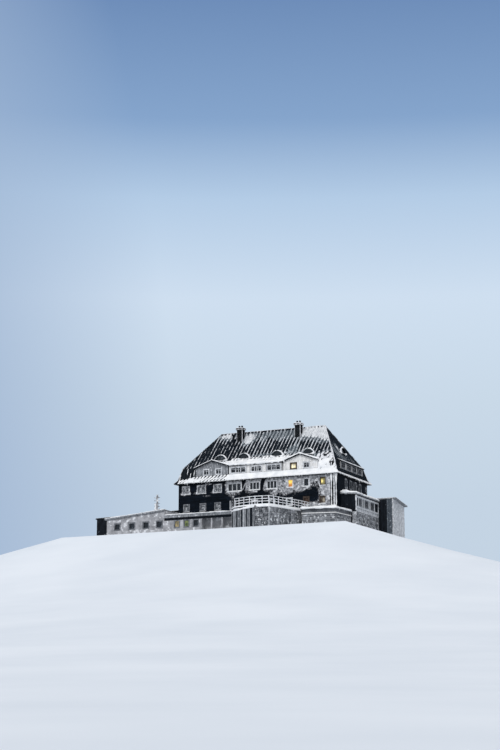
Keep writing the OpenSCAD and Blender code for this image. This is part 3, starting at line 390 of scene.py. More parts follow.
# Grey brushed paint on the annex and hipped-end windows.
GREY_PAINT = Finish("grey_window_paint", "#4a4d52", "#73767b", 0.2, grain=0.01, relief=0.001,
                    rough=(0.5, 0.7), frost="#a9acb1", frost_share=0.25, frost_patch=0.15, top_frost=0.9)
# Oiled timber of the lit windows' frames: dark brown.
OILED_FRAME = Finish("oiled_window_frame", "#251c17", "#4b3e34", 0.2, (1, 1, 4), 0.01, 0.001,
                     (0.5, 0.7), "#9c9a98", 0.15, 0.1)
# Planed floor boards indoors: warm pine, knots drawn as patches.
PLANED_PINE = Finish("planed_pine_floor", "#8a6a45", "#b08a5c", 0.4, (1, 7, 1), 0.01, 0.001, (0.45, 0.6))
# Galvanised steel under thick hoar: almost white.
FROSTED_STEEL = Finish("frosted_galvanised_steel", "#a5a9af", "#d7dade", 0.15, grain=0.015, relief=0.006,
                       rough=(0.5, 0.8), frost="#eff1f4", frost_share=0.6, frost_patch=0.1, top_frost=1.0)
# Float glass with a dark room behind it: near black, smooth, hoar creeping in.
DARK_PANE = pane("dark_room", "#06090c", "#1a1e24", 0.3, rough=(0.06, 0.15), frost="#5d636b",
                 frost_share=0.3, frost_patch=0.25, gloss=0.5)
# Float glass half covered by ice flowers: dull grey.
ICED_PANE = Finish("iced_window_glass", "#2c3035", "#6d7176", 0.14, (2, 1, 0.5), 0.05, 0.002, (0.3, 0.6),
                   "#b4b7bb", 0.5, 0.12)
# The gable pane right in front of its lamp: cream, almost white.
CREAM_PANE = pane("cream_lamp", "#84703f", "#fff3c8", 0.3, glow=0.5, lamp=(3.15, -3.22, 5.12, 0.27))
# Panes with a lamp behind them: bright where the lamp is, brown or olive where a curtain hangs.
AMBER_PANE = pane("amber_lamp", "#a3663a", "#ffd568", 0.32, glow=0.5, lamp=(2.9, -3.2, 4.08, 0.36))
YELLOW_PANE = pane("yellow_lamp", "#4a4634", "#fdeb94", 0.3, glow=0.4, lamp=(5.47, -3.2, 3.85, 0.2))
# The right kitchen pane: a taupe curtain with the room's light on its right half.
TAUPE_PANE = pane("taupe_curtain", "#3a322c", "#a69d8c", glow=0.1, lamp=(5.76, -3.2, 2.4, 0.24))
# Drawn curtains in rooms with little light: dull ochre, moss green and brown; their faint glow is painted
# light of the rooms behind.
OCHRE_PANE = pane("ochre_curtain", "#6a6450", "#b5a273", glow=0.25)
GREEN_PANE = pane("green_curtain", "#3f4a30", "#8b9560", glow=0.2)
BROWN_PANE = pane("brown_curtain", "#241a15", "#4d392c", 0.2, rough=(0.15, 0.3), glow=0.08)
# Smooth pale floor of the stage: hardly any change of tone.
PALE_FLOOR = Finish("pale_floor", "#dbe2ea", "#e3e9f0", 8.0, grain=0.5, relief=0.0005, rough=(0.8, 0.9))

CAD_FINISHES: dict[Finish, str] = {
    CAST_CONCRETE: "base_slabs plinth_walls ground_floor front_platform",
    STAINED_BOARDS: "front_wall_left front_wall_over_door back_wall left_wall right_wall",
    RIMED_BOARDS: "front_wall_right",
    PLANED_PINE: "first_floor attic_floor upper_attic_floor",
    COATED_SHEET: "roof_front roof_back roof_left roof_right ridge_cap round_dormers small_flue "
                  "rear_wing_roof",
    WEATHERED_LARCH: "left_gable_dormer front_shed_dormer back_gable_dormers back_shed_dormer terrace_door "
                     "front_annex_roof left_annex_roof porch_roof outbuilding_roof",
    SOOTED_STONE: "left_chimney right_chimney",
    WINDOW_PAINT: "wall_window_frames dormer_window_frames terrace_door_frame",
    DARK_PANE: "front_glass back_glass side_glass dormer_glass annex_glass",
    FROSTED_STEEL: "downpipes terrace_railing antenna_mast",
    SETTLED_SNOW: "terrace_deck",
    LIME_RENDER: "front_annex_walls left_annex_walls",
    # The terrace skirt is dark as painted shade of the hollow under the deck, seen through the gaps between
    # the skirt boards.
    DARK_LARCH_AND_SHADE: "rear_wing_walls porch_walls outbuilding_walls terrace_skirt left_side_dormer "
                "right_side_dormer",
    FROSTED_LARCH: "right_gable_dormer",
    GREY_PAINT: "annex_window_frames",
}

# Boxes of X and Z in which faces of a CAD node on the front have a finish of their own.
FRONT_PARTS: tuple[tuple[str, float, float, float, float, Finish], ...] = (
    ("front_glass", 2.7, 3.2, 3.3, 4.3, AMBER_PANE),
    ("front_glass", 5.3, 5.95, 3.3, 4.3, YELLOW_PANE),
    ("front_glass", 4.0, 5.2, 2.0, 2.8, BROWN_PANE),
    ("front_glass", 5.2, 6.0, 2.0, 2.8, TAUPE_PANE),
    ("front_glass", -6.6, -2.9, 2.0, 2.8, ICED_PANE),
    ("wall_window_frames", -6.65, -2.7, 3.3, 4.3, CRUST_RIME),
    ("wall_window_frames", -6.65, -2.7, 2.0, 2.8, GREY_PAINT),
    ("wall_window_frames", 3.9, 6.0, 2.0, 2.8, OILED_FRAME),
    ("wall_window_frames", 5.3, 6.0, 3.4, 4.3, OILED_FRAME),
    ("dormer_window_frames", 2.8, 3.6, 4.8, 5.5, OILED_FRAME),
    ("front_glass", -6.65, -2.7, 3.3, 4.3, ICED_PANE),
    ("dormer_glass", 2.9, 3.55, 4.8, 5.5, CREAM_PANE),
    ("left_gable_dormer", -6, -2, 5.6, 7.5, COATED_SHEET),
    ("front_shed_dormer", -4, 4, 5.6, 7.5, COATED_SHEET),
    ("right_gable_dormer", 2, 6, 5.6, 7.5, COATED_SHEET),
    ("round_dormers", 3.4, 4.8, 6.0, 6.7, GREY_RIME),
    ("annex_glass", -5.4, -4.8, 0.3, 1.2, OCHRE_PANE),
    ("annex_glass", -4.6, -4.0, 0.3, 1.2, GREEN_PANE),
)


# Mesh making


@dataclass
class Shape:
    """Vertices and four-sided faces that grow piece by piece before they become one mesh.

    Each face keeps a tone, which is the number of its finish, and a shade from -0.5 to 0.5.
    """

    verts: list[Array] = field(default_factory=list)
    faces: list[Array] = field(default_factory=list)
    tones: list[Array] = field(default_factory=list)
    shades: list[Array] = field(default_factory=list)
    count: int = 0

    def add(self, verts: Array, faces: Array, tone: Array | int = 0, shade: Array | float = 0.0) -> None:
        """Adds vertices and the faces that index them.

        Args:
            verts: points, of any leading shape.
            faces: four indexes a face, of any leading shape.
            tone: number of the finish, for each face or for all.
            shade: shade, for each face or for all.
        """
        flat = np.asarray(verts, float).reshape(-1, 3)
        quads = np.asarray(faces, int).reshape(-1, 4)
        self.verts.append(flat)
        self.faces.append(quads + self.count)
        self.tones.append(np.broadcast_to(tone, len(quads)).astype(np.int32))
        self.shades.append(np.broadcast_to(shade, len(quads)).astype(np.float32))
        self.count += len(flat)

    def object(self, name: str, finishes: Finish | Sequence[Finish], smooth: bool) -> bpy.types.Object:
        """Makes the mesh object at the origin and dresses it."""
        verts, faces = np.concatenate(self.verts), np.concatenate(self.faces)
        mesh = bpy.data.meshes.new(name)
        mesh.from_pydata(verts.tolist(), [], faces.tolist())
        mesh.polygons.foreach_set("use_smooth", np.full(len(faces), smooth))
        for finish in (finishes,) if isinstance(finishes, Finish) else finishes:
            mesh.materials.append(finish.material())
        mesh.polygons.foreach_set("material_index", np.concatenate(self.tones))
        mesh.attributes.new(SHADE, "FLOAT", "FACE").data.foreach_set("value", np.concatenate(self.shades))
        mesh.update()
        made = bpy.data.objects.new(name, mesh)
        bpy.context.scene.collection.objects.link(made)
        log.info("%s: %d faces", name, len(faces))
        return made

    def piece(self, name: str, finishes: Finish | Sequence[Finish], slot: str, body: str = HOUSE,
              smooth: bool = False) -> None:
        """Makes the object and lets it ride on its body.

        Args:
            name: the piece's name.
            finishes: its finish, or one for each tone.
            slot: the record's material slot that it belongs to; not used.
            body: the body that it rides on.
            smooth: whether its faces are shaded as one curved surface.
        """
        made = self.object(name, finishes, smooth)
        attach(made, body)

    def snow(self, name: str, finishes: Finish | Sequence[Finish], slot: str = "snow") -> None:
        """Makes a smooth piece of snow or rime that rides on the house."""
        self.piece(name, finishes, slot, smooth=True)


@dataclass(frozen=True)
class Face:
    """A plane patch: an origin and two unit directions; the normal is their cross product."""

    origin: Triple
    along: Triple
    up: Triple = UP

    @property
    def normal(self) -> Array:
        """Unit normal that looks out of the building."""
        return np.cross(self.along, self.up)

    def at(self, u: Array, v: Array, w: Array | float = 0.0) -> Array:
        """World points: origin + u along + v up + w normal."""
        u, v, w = np.broadcast_arrays(u, v, w)
        return (np.array(self.origin) + u[..., None] * np.array(self.along)
                + v[..., None] * np.array(self.up) + w[..., None] * self.normal)


# One slab of a row: four corners at the foot, four below the bevel, four on the outer face.
SLAB_FACES = np.array([[0, 3, 2, 1], *([k + i, k + (i + 1) % 4, k + 4 + (i + 1) % 4, k + 4 + i]
                                       for k in (0, 4) for i in range(4)), [8, 9, 10, 11]])


def slabs(shape: Shape, face: Face, rows: Sequence[Sequence[float]], bevel: float = 0.004,
          tone: int = 0) -> None:
    """Adds bevelled slabs that lie on a face: a rectangle carried outwards, drawn in at its rim.

    Each slab takes a shade of its own from the fraction of a large multiple of its place.

    Args:
        shape: what they are added to.
        face: the plane that they lie on.
        rows: for each slab u0, u1, v0, v1, foot and outer height.
        bevel: width of the bevel, in metres.
        tone: number of their finish.
    """
    if not len(rows):
        return
    u0, u1, v0, v1, w0, w1 = np.asarray(rows, float).T
    inset = np.minimum(bevel, np.minimum(u1 - u0, v1 - v0) / 3)
    u = np.stack([u0, u1, u1, u0] * 2 + [u0 + inset, u1 - inset, u1 - inset, u0 + inset], 1)
    v = np.stack([v0, v0, v1, v1] * 2 + [v0 + inset, v0 + inset, v1 - inset, v1 - inset], 1)
    w = np.stack([w0] * 4 + [w1 - inset] * 4 + [w1] * 4, 1)
    faces = SLAB_FACES[None] + 12 * np.arange(len(u0))[:, None, None]
    shade = (np.modf(np.abs(np.sin(u0 * 127.1 + v0 * 311.7)) * 437.5)[0] - 0.5) * 0.7
    shape.add(face.at(u, v, w), faces, tone, np.repeat(shade, len(SLAB_FACES)))


def blanket(shape: Shape, ground: Array, normals: Array, height: Array, sink: float = 0.006,
            tone: Array | int = 0) -> None:
    """Adds a closed layer on a grid: points moved along their normals by the height.

    Where the height falls below nothing the layer dips under the surface, and cells that are
    wholly under it are left out. The underside lies twice the sink below the surface.

    Args:
        shape: what it is added to.
        ground: grid of surface points, of shape rows x columns x 3.
        normals: unit normals, of a shape that broadcasts to the points.
        height: thickness at each point.
        sink: how far under the surface the rim ends.
        tone: number of the finish, for each point or for all.
    """
    height = np.maximum(height, -sink)
    top = ground + normals * height[..., None]
    under = ground - np.broadcast_to(normals, ground.shape) * 2 * sink
    live = height > -sink * 0.999
    cell = live[:-1, :-1] | live[1:, :-1] | live[:-1, 1:] | live[1:, 1:]
    if not cell.any():
        return
    a, b, c, d = cells(height.shape)
    padded = np.pad(cell, 1)
    tone = np.broadcast_to(tone, height.shape)[:-1, :-1]
    faces = [np.stack([a, b, c, d], -1)[cell], np.stack([a, d, c, b], -1)[cell] + height.size]
    marks = [tone[cell], tone[cell]]
    for near, first, second in ((padded[1:-1, :-2], a, b), (padded[2:, 1:-1], b, c),
                                (padded[1:-1, 2:], c, d), (padded[:-2, 1:-1], d, a)):
        edge = cell & ~near
        p, q = first[edge], second[edge]
        faces.append(np.stack([p + height.size, q + height.size, q, p], -1))
        marks.append(tone[edge])
    used, packed = np.unique(np.concatenate(faces), return_inverse=True)
    shape.add(np.concatenate([top.reshape(-1, 3), under.reshape(-1, 3)])[used], packed.reshape(-1, 4),
              np.concatenate(marks))


def tube(shape: Shape, path: Array, radius: Array | float, sides: int = 6,
         flat: tuple[float, float] = (1.0, 1.0)) -> None:
    """Adds a closed tube: a circle carried along a path, with a small end ring at each end.

    Args:
        shape: what it is added to.
        path: points of the path, n x 3.
        radius: radius at each point, or one for all.
        sides: corners of the circle.
        flat: factors on the sideways and the upward half-axis.
    """
    radius = np.broadcast_to(radius, len(path)).astype(float)
    step = unit(np.gradient(path, axis=0))
    side = unit(np.cross(step, X_WAY if np.abs(step[:, 2]).max() > 0.95 else UP))
    rise = np.cross(side, step)
    path, side, rise = (np.concatenate([p[:1], p, p[-1:]]) for p in (path, side, rise))
    radius = np.concatenate([[radius[0] * 0.05], radius, [radius[-1] * 0.05]])
    turn = np.arange(sides) * 2 * math.pi / sides
    ring = (side[:, None] * np.cos(turn)[None, :, None] * flat[0]
            + rise[:, None] * np.sin(turn)[None, :, None] * flat[1])
    i, j = grid(np.arange(len(path) - 1), np.arange(sides))
    k = (j + 1) % sides
    faces = np.stack([i * sides + j, (i + 1) * sides + j, (i + 1) * sides + k, i * sides + k], -1)
    start = np.arange(0, sides - 2, 2)
    cap = np.stack([np.zeros_like(start), start + 1, start + 2, (start + 3) % sides], -1)
    last = (len(path) - 1) * sides
    shape.add(path[:, None] + ring * radius[:, None, None],
              np.concatenate([faces.reshape(-1, 4), cap, cap[:, ::-1] + last]))


def minus(spans: Spans, holes: Iterable[tuple[float, float]]) -> Spans:
    """What is left of the spans, where longer than 10 mm, when the holes are cut out of them."""
    for low, high in holes:
        spans = [part for a, b in spans for part in ((a, min(b, low)), (max(a, high), b))
                 if part[1] - part[0] > 0.01]
    return [(a, b) for a, b in spans if b - a > 0.01]


def around(u: float, wide: float) -> tuple[float, float]:
    """Start and end of a stretch of the given half width round u."""
    return u - wide, u + wide


# The building's sizes, as the source states them


@dataclass(frozen=True)
class Opening:
    """A window in a wall: middle along the wall, sill height, width and height."""

    u: float
    z: float
    w: float
    h: float

    def distance(self, u: Array, z: Array) -> Array:
        """Distance from the opening's rim, below 0 inside it."""
        du, dz = np.abs(u - self.u) - self.w / 2, np.abs(z - self.z - self.h / 2) - self.h / 2
        return np.where((du > 0) & (dz > 0), np.hypot(du, dz), np.maximum(du, dz))


class Side(Enum):
    """The four sides of the timber block: middle of the wall in half sizes, direction along it."""

    FRONT = ((0.0, -1.0), (1.0, 0.0))
    RIGHT = ((1.0, 0.0), (0.0, 1.0))
    BACK = ((0.0, 1.0), (-1.0, 0.0))
    LEFT = ((-1.0, 0.0), (0.0, -1.0))

    @property
    def long(self) -> bool:
        """Whether it is the front or the back."""
        return self in (Side.FRONT, Side.BACK)

    @property
    def front(self) -> bool:
        """Whether it is the front."""
        return self is Side.FRONT

    @property
    def tag(self) -> str:
        """Its name as the pieces carry it."""
        return self.name.lower()

    @property
    def number(self) -> int:
        """Its place in the list of sides, for seeds."""
        return list(Side).index(self)


@dataclass(frozen=True)
class Block:
    """Sizes of the timber block and its roof, in metres."""

    half_l: float = 6.7
    half_d: float = 3.225
    floor_z: float = 1.65
    upper_z: float = 3.125
    wall_top: float = 4.33
    eave_out: float = 0.3
    eave_z: float = 4.405
    flare_out: float = 0.08
    flare_z: float = 4.63
    break_in: float = 0.23
    break_z: float = 5.6
    ridge_z: float = 8.75
    hip_in: float = 2.185
    dormer_z: float = 4.8813
    gable_x: float = 3.75
    gable_half: float = 1.45
    gable_side: float = 0.64
    gable_rise: float = 0.5
    verge: float = 0.09
    plate: float = 0.07
    dormer_out: float = 0.15
    shed_face: float = 0.72
    shed_slope: float = 0.55
    side_half: float = 2.35
    side_face: float = 0.59
    eyebrow_w: float = 1.08
    eyebrow_h: float = 0.47
    eyebrow_out: float = 0.07
    hip_eyebrow_up: float = 0.78
    chimney_x: float = 2.525
    chimney_y: float = 0.62
    chimney_w: float = 0.47

    def half(self, side: Side) -> float:
        """Half the length of a side's wall."""
        return self.half_l if side.long else self.half_d

    def depth(self, side: Side) -> float:
        """Distance from a side's wall to the ridge or to the ridge's end, seen in plan."""
        return self.half_d if side.long else self.hip_in

    def rise(self, side: Side) -> float:
        """Rise of a side's upper slope per metre of depth."""
        return (self.ridge_z - self.break_z) / (self.depth(side) - self.break_in)

    @property
    def steep_run(self) -> float:
        """Depth that the steep slope gains per metre of height."""
        return (self.flare_out + self.break_in) / (self.break_z - self.flare_z)

    def wall(self, side: Side) -> Face:
        """The wall face of a side, with v as the height."""
        (ox, oy), (ax, ay) = side.value
        return Face((ox * self.half_l, oy * self.half_d, 0.0), (ax, ay, 0.0))

    def world(self, side: Side, u: Array, y: Array | float, z: Array | float) -> Array:
        """World points of wall places: u along, y into the depth, z up."""
        return self.wall(side).at(u, z, -np.asarray(y, float))

    def leaning(self, side: Side, slope: float) -> Array:
        """Unit normal of a roof face on a side that rises by the slope per metre of depth."""
        return unit(UP + self.wall(side).normal * slope)

    def slope_y(self, side: Side, z: Array | float) -> Array:
        """Depth at which the roof's outer face has the height z."""
        z = np.asarray(z, float)
        upper = self.break_in + (z - self.break_z) / self.rise(side)
        steep = (z - self.flare_z) * self.steep_run - self.flare_out
        return np.where(z > self.break_z, upper, steep)

    def slope_z(self, side: Side, y: Array) -> Array:
        """Height of a side's upper slope at the depth y."""
        return self.break_z + (y - self.break_in) * self.rise(side)

    def hip_u(self, side: Side, y: Array) -> Array:
        """Half length of a slope at the depth y: the hip line in plan."""
        across = (self.hip_in if side.long else self.half_d) - self.break_in
        inner = self.half(side) - self.break_in - (y - self.break_in) * across / (
            self.depth(side) - self.break_in)
        return np.where(np.asarray(y) > self.break_in, inner, self.half(side) - np.asarray(y))

    def hip_limit(self, side: Side, u: float) -> float:
        """Depth at which a slope ends at u, at the hip or at the ridge."""
        across = (self.hip_in if side.long else self.half_d) - self.break_in
        flat = self.half(side) - self.break_in - abs(u)
        return min(self.depth(side), self.break_in + flat * (self.depth(side) - self.break_in) / across)

    def row_half(self, side: Side) -> float:
        """Half length of the row of dormers on a side."""
        return self.gable_x + self.gable_half if side.long else self.side_half

    def shed_half(self, side: Side) -> float:
        """Half length of the shed dormer's roof on a side."""
        return self.gable_x if side.long else self.side_half

    def face_z(self, side: Side) -> float:
        """Height at which the shed dormer's face ends."""
        return self.dormer_z + (self.shed_face if side.long else self.side_face)

    def shed_top(self, side: Side) -> float:
        """Height of the shed dormer's roof over the wall face."""
        return self.face_z(side) + self.plate

    def shed_end(self, side: Side) -> float:
        """Depth at which the shed dormer's roof meets the upper slope."""
        rise = self.rise(side)
        return (self.shed_top(side) - self.break_z + self.break_in * rise) / (rise - self.shed_slope)

    @property
    def gable_face(self) -> float:
        """Height of the gabled dormers' faces at their middle."""
        return self.dormer_z + self.gable_side + self.gable_rise

    @property
    def gable_peak(self) -> float:
        """Height of the gabled dormers' ridges."""
        return self.gable_face + self.plate

    @property
    def gable_slope(self) -> float:
        """Fall of the gabled dormers' roofs per metre."""
        return self.gable_rise / self.gable_half

    def gable_top(self, u: Array | float) -> Array:
        """Height of the gabled dormers' roof plates at u, and nothing beside them."""
        off = np.abs(np.abs(u) - self.gable_x)
        return np.where(off < self.gable_half + self.verge, self.gable_peak - off * self.gable_slope, 0.0)

    def eyebrows(self, side: Side) -> list[tuple[float, float]]:
        """Middle and sill height of each round-headed dormer on a side."""
        if not side.long:
            return [(0.0, self.break_z + self.hip_eyebrow_up)]
        return [(x, self.gable_peak + 0.012) for x in (-3.37, -1.34, 1.52, 4.12)]

    @property
    def eyebrow_r(self) -> float:
        """Radius of a round-headed dormer's arch."""
        return (self.eyebrow_w ** 2 / 4 + self.eyebrow_h ** 2) / (2 * self.eyebrow_h)

    def arch_y(self, side: Side, sill: float, off: Array | float) -> Array:
        """Depth at which a round-headed dormer's arch meets the slope, at a distance from its middle."""
        root = np.sqrt(np.maximum(self.eyebrow_r ** 2 - off ** 2, 0))
        return self.slope_y(side, sill + self.eyebrow_h - self.eyebrow_r + root)

    def slope_spans(self, side: Side, u: float) -> Spans:
        """Stretches of depth in which a slope's sheet shows at u, clear of dormers and chimneys."""
        top = self.hip_limit(side, u)
        low = self.shed_end(side) if abs(u) < self.shed_half(side) else self.break_in
        gable = float(self.gable_top(u)) if side.long else 0.0
        if gable:
            low = max(low, float(self.slope_y(side, gable)))
        holes = []
        for x, sill in self.eyebrows(side):
            if abs(u - x) < self.eyebrow_w / 2:
                holes.append((float(self.slope_y(side, sill)) - self.eyebrow_out,
                              float(self.arch_y(side, sill, u - x))))
        if side.front and abs(abs(u) - self.chimney_x) < self.chimney_w / 2:
            middle = self.half_d - self.chimney_y
            holes.append((middle - self.chimney_w / 2, middle + self.chimney_w / 2))
        return minus([(low, top)], holes) if top > low else []

    def clearance(self, side: Side, u: Array, y: Array) -> Array:
        """Distance from hips, dormers and chimneys on an upper slope, below 0 on them."""
        clear = [self.hip_u(side, y) - np.abs(u),
                 np.where(np.abs(u) < self.shed_half(side), y - self.shed_end(side), FAR)]
        if side.long:
            gable = self.gable_top(u)
            behind = y - self.slope_y(side, np.maximum(gable, self.flare_z))
            clear.append(np.where(gable > 0, behind, FAR))
        for x, sill in self.eyebrows(side):
            off = np.abs(u - x)
            start = self.slope_y(side, sill) - 0.08
            clear.append(np.maximum(np.maximum(off - self.eyebrow_w / 2, start - y),
                                    y - self.arch_y(side, sill, off)))
        if side.front:
            clear.append(np.maximum(np.abs(np.abs(u) - self.chimney_x),
                                    np.abs(y - self.half_d + self.chimney_y)) - self.chimney_w / 2)
        return np.min(clear, axis=0)


def windows(side: Side, block: Block) -> list[Opening]:
    """The window openings in a side's timber wall, first the lower row and then the upper."""
    across = [(-0.374, 0.124), (-0.07, 0.14), (0.209, 0.186), (0.535, 0.14)]
    row = [(i * 0.213, 0.075) for i in range(-4, 5)]
    lower, upper = {
        Side.FRONT: ([(-0.895, 0.071), (-0.679, 0.071), (-0.487, 0.071), (-0.013, 0.071), (0.207, 0.071),
                      (0.425, 0.071), (0.635, 0.064), (0.836, 0.064)],
                     [(-0.905, 0.09), (-0.7, 0.105), (-0.488, 0.097), (-0.269, 0.172), (-0.013, 0.127),
                      (0.207, 0.127), (0.439, 0.064), (0.636, 0.067), (0.841, 0.064)]),
        Side.RIGHT: ([], across), Side.BACK: (row, row),
        Side.LEFT: ([(-0.535, 0.14)], [(-a, w) for a, w in across]),
    }[side]
    half = block.half(side)
    storeys = ((lower, block.floor_z + 0.49, 0.55), (upper, block.upper_z + 0.395, 0.61))
    return [Opening(a * half, sill, w * half, tall) for pairs, sill, tall in storeys for a, w in pairs]


# Sub-assemblies


@dataclass
class BoardedWalls:
    """Lapped boards, corner boards and a foot board on the four timber walls."""

    block: Block
    board_h: float = 0.1
    board_t: float = 0.014
    gap: float = 0.004
    casing: float = 0.045
    corner_w: float = 0.11
    longest: float = 2.6
    cut: tuple[float, float] = (1.2, 2.4)
    door: Triple = (-2.221, -1.699, 2.787)

    def rows(self, side: Side) -> list[list[float]]:
        """One row of boards per pitch, cut at the openings and jointed at random lengths."""
        b = self.block
        rng = np.random.default_rng(11 + side.number)
        edge = b.half(side) - self.corner_w
        holes = [(w.u - w.w / 2, w.u + w.w / 2, w.z, w.z + w.h) for w in windows(side, b)]
        if side.front:
            holes.append((self.door[0], self.door[1], b.floor_z, self.door[2]))
        out, z, rim = [], b.floor_z, self.casing
        while z < b.wall_top - 0.02:
            top = min(z + self.board_h, b.wall_top)
            near = [(left - rim, right + rim) for left, right, low, high in holes
                    if low - rim < top and high + rim > z]
            for start, end in minus([(-edge, edge)], near):
                cuts = [start]
                while end - cuts[-1] > self.longest:
                    cuts.append(cuts[-1] + rng.uniform(*self.cut))
                for c, d in zip(cuts, cuts[1:] + [end]):
                    lift = self.board_t + rng.uniform(-0.003, 0.003)
                    out.append([c + self.gap / 2, d - self.gap / 2, z + self.gap, top, FOOT, lift])
            z += self.board_h
        return out

    def build(self) -> None:
        """Boards, then the upright corner boards, on each side."""
        b = self.block
        for side in Side:
            shape, half = Shape(), b.half(side)
            slabs(shape, b.wall(side), self.rows(side), 0.005)
            slabs(shape, b.wall(side), [[start, start + self.corner_w, b.floor_z, b.wall_top, FOOT, 0.022]
                                        for start in (-half, half - self.corner_w)], 0.005)
            slot = "rimed_timber" if side.front else "dark_timber"
            shape.piece("boards_" + side.tag, STAINED_BOARDS, slot)


@dataclass
class WallRime:
    """Rime on the timber walls: a crust over the right of the front and round the windows."""

    block: Block
    cell: float = 0.042
    lift: float = 0.012
    deepest: float = 0.034
    weather_u: float = -2.5
    door: Opening = Opening(-1.96, 1.65, 0.44, 1.1)

    def rim(self, side: Side, u: Array, z: Array) -> Array:
        """Distance from the nearest window's or the door's rim."""
        holes = windows(side, self.block) + [self.door] * side.front
        return np.min([w.distance(u, z) for w in holes], axis=0)

    def strips(self, u: Array, z: Array) -> Array:
        """Two bare strips that lean to the right, left and right of the fifth window."""
        first = np.exp(-((u + 1.08 - (z - 3.7) * 0.1) / 0.2) ** 4) * ramp(z, 3.1, 3.3)
        first = first * (1 - 0.9 * np.exp(-((u + 0.95 - (z - 3.9) * 0.55) / 0.07) ** 2))
        second = np.exp(-((u - 0.5 - (z - 3.7) * 0.3) / 0.17) ** 4) * ramp(z, 3.0, 3.2)
        return np.maximum(first, second)

    def front_cover(self, u: Array, z: Array) -> Array:
        """How much rime the front carries: all of it above and right of the terrace, little behind it."""
        right = ramp(u + 0.3 * cloud(u, z, 0.8, 31), 3.7, 4.3)
        foot = z + 0.25 * cloud(u, z, 0.5, 35) + 0.12 * ramp(u, 0.9, 1.8)
        middle = ramp(foot, 2.75, 3.45) * ramp(u + 0.1 * cloud(u, z, 0.4, 33), -2.75, -2.5)
        bare = mounds(u, z, (4.72, 2.82, 0.52, 0.46, 1.7), (3.95, 2.75, 0.3, 0.2, 0.6),
                      (0.2, 3.2, 0.7, 0.22, 0.5), (1.3, 3.3, 0.9, 0.2, 0.33), (2.9, 2.95, 0.8, 0.3, -0.05),
                      (4.95, 3.75, 0.4, 0.35, 0.32), (-4.0, 4.2, 0.5, 0.1, -0.85),
                      (-4.1, 3.3, 0.5, 0.08, -0.5)) + 1.2 * ramp(u, 6.2, 6.35)
        return 0.95 * np.maximum(right, middle) - 1.1 * self.strips(u, z) - bare

    def cover(self, side: Side, u: Array, z: Array) -> Array:
        """How much rime a side carries: on a hidden or a lee side patches, and more at the far end."""
        if side.front:
            return self.front_cover(u, z)
        return mounds(u, z, *{
            Side.RIGHT: ((3.1, 3.9, 0.7, 0.5, 0.6), (2.9, 3.0, 0.5, 0.5, 0.35)),
            Side.LEFT: ((2.9, 3.7, 0.9, 0.9, 0.45), (-2.8, 2.2, 0.8, 0.7, 0.35)),
            Side.BACK: ((-4.6, 3.9, 2.4, 0.6, 0.4), (2.4, 1.8, 3.0, 0.5, 0.4), (6.4, 3.2, 0.7, 1.4, 0.45)),
        }[side])

    def collars(self, side: Side, u: Array, z: Array) -> Array:
        """Rime round each window: strong at its rim, longer below it and ragged outside."""
        total = np.full(u.shape, -1.0)
        for i, w in enumerate(windows(side, self.block)):
            upper, lee = w.z > self.block.upper_z, side.front and w.u < self.weather_u
            if upper and lee:
                wide = 0.16 * (1.2 - 1.1 * ramp(z, w.z + 0.1, w.z + 0.7 * w.h))
                wide = wide * (1.1 - 0.7 * ramp(z, w.z, w.z - 0.1))
            else:
                wide = (0.24 if upper else 0.05) * (0.8 if side.front else 0.45)
                wide = wide * (1.1 - 0.5 * ramp(z, w.z, w.z + w.h))
            ragged = 0.9 * cloud(u, z, 0.25, 60 + i) + 0.4 * lattice(u, z, 0.08, 90 + i)
            ragged = 1 + (1.7 if lee else 1.0) * ragged
            total = np.maximum(total, 1 - w.distance(u, z) / (wide * ragged).clip(0.02))
        return total

    def drips(self) -> None:
        """Snow on the front sills, rime down the right corner and icicles under the eaves."""
        b, shape = self.block, Shape()
        for i, w in enumerate(windows(Side.FRONT, b)):
            u = np.linspace(w.u - w.w / 2 - 0.05, w.u + w.w / 2 + 0.05, 14)
            size = (0.036 if w.u > self.weather_u else 0.014) * lumpy(u, 0.12, 620 + i, 0.4)
            tube(shape, b.world(Side.FRONT, u, -0.05, w.z - 0.02), size)
        for x, y, high, thick in ((b.half_l + 0.01, -b.half_d - 0.01, 4.55, 0.05),
                                  (b.half_l - 0.34, -b.half_d - 0.07, 4.4, 0.04)):
            z = np.linspace(1.66, high, 50)
            size = thick * (lumpy(z, 0.16, 640, 0.45, x) + 1.8 * ramp(z, high - 0.9, high))
            tube(shape, xyz(x, y, z), size, 8)
        rng = np.random.default_rng(650)
        v = np.linspace(0, 1, 5)
        for side in Side:
            half = b.half(side) + 0.25
            places = np.sort(rng.uniform(-half, half, int(half * 5)))
            long = rng.uniform(0.03, 0.12, len(places)) + 0.16 * (rng.uniform(0, 1, len(places)) > 0.93)
            for u, drop in zip(places, long):
                line = b.world(side, v * 0 + u, -b.eave_out - 0.01, b.wall_top + 0.03 - v * drop)
                tube(shape, line, 0.022 * (1 - 0.85 * v) + 0.001)
        shape.snow("sill_snow_and_icicles", SETTLED_SNOW)

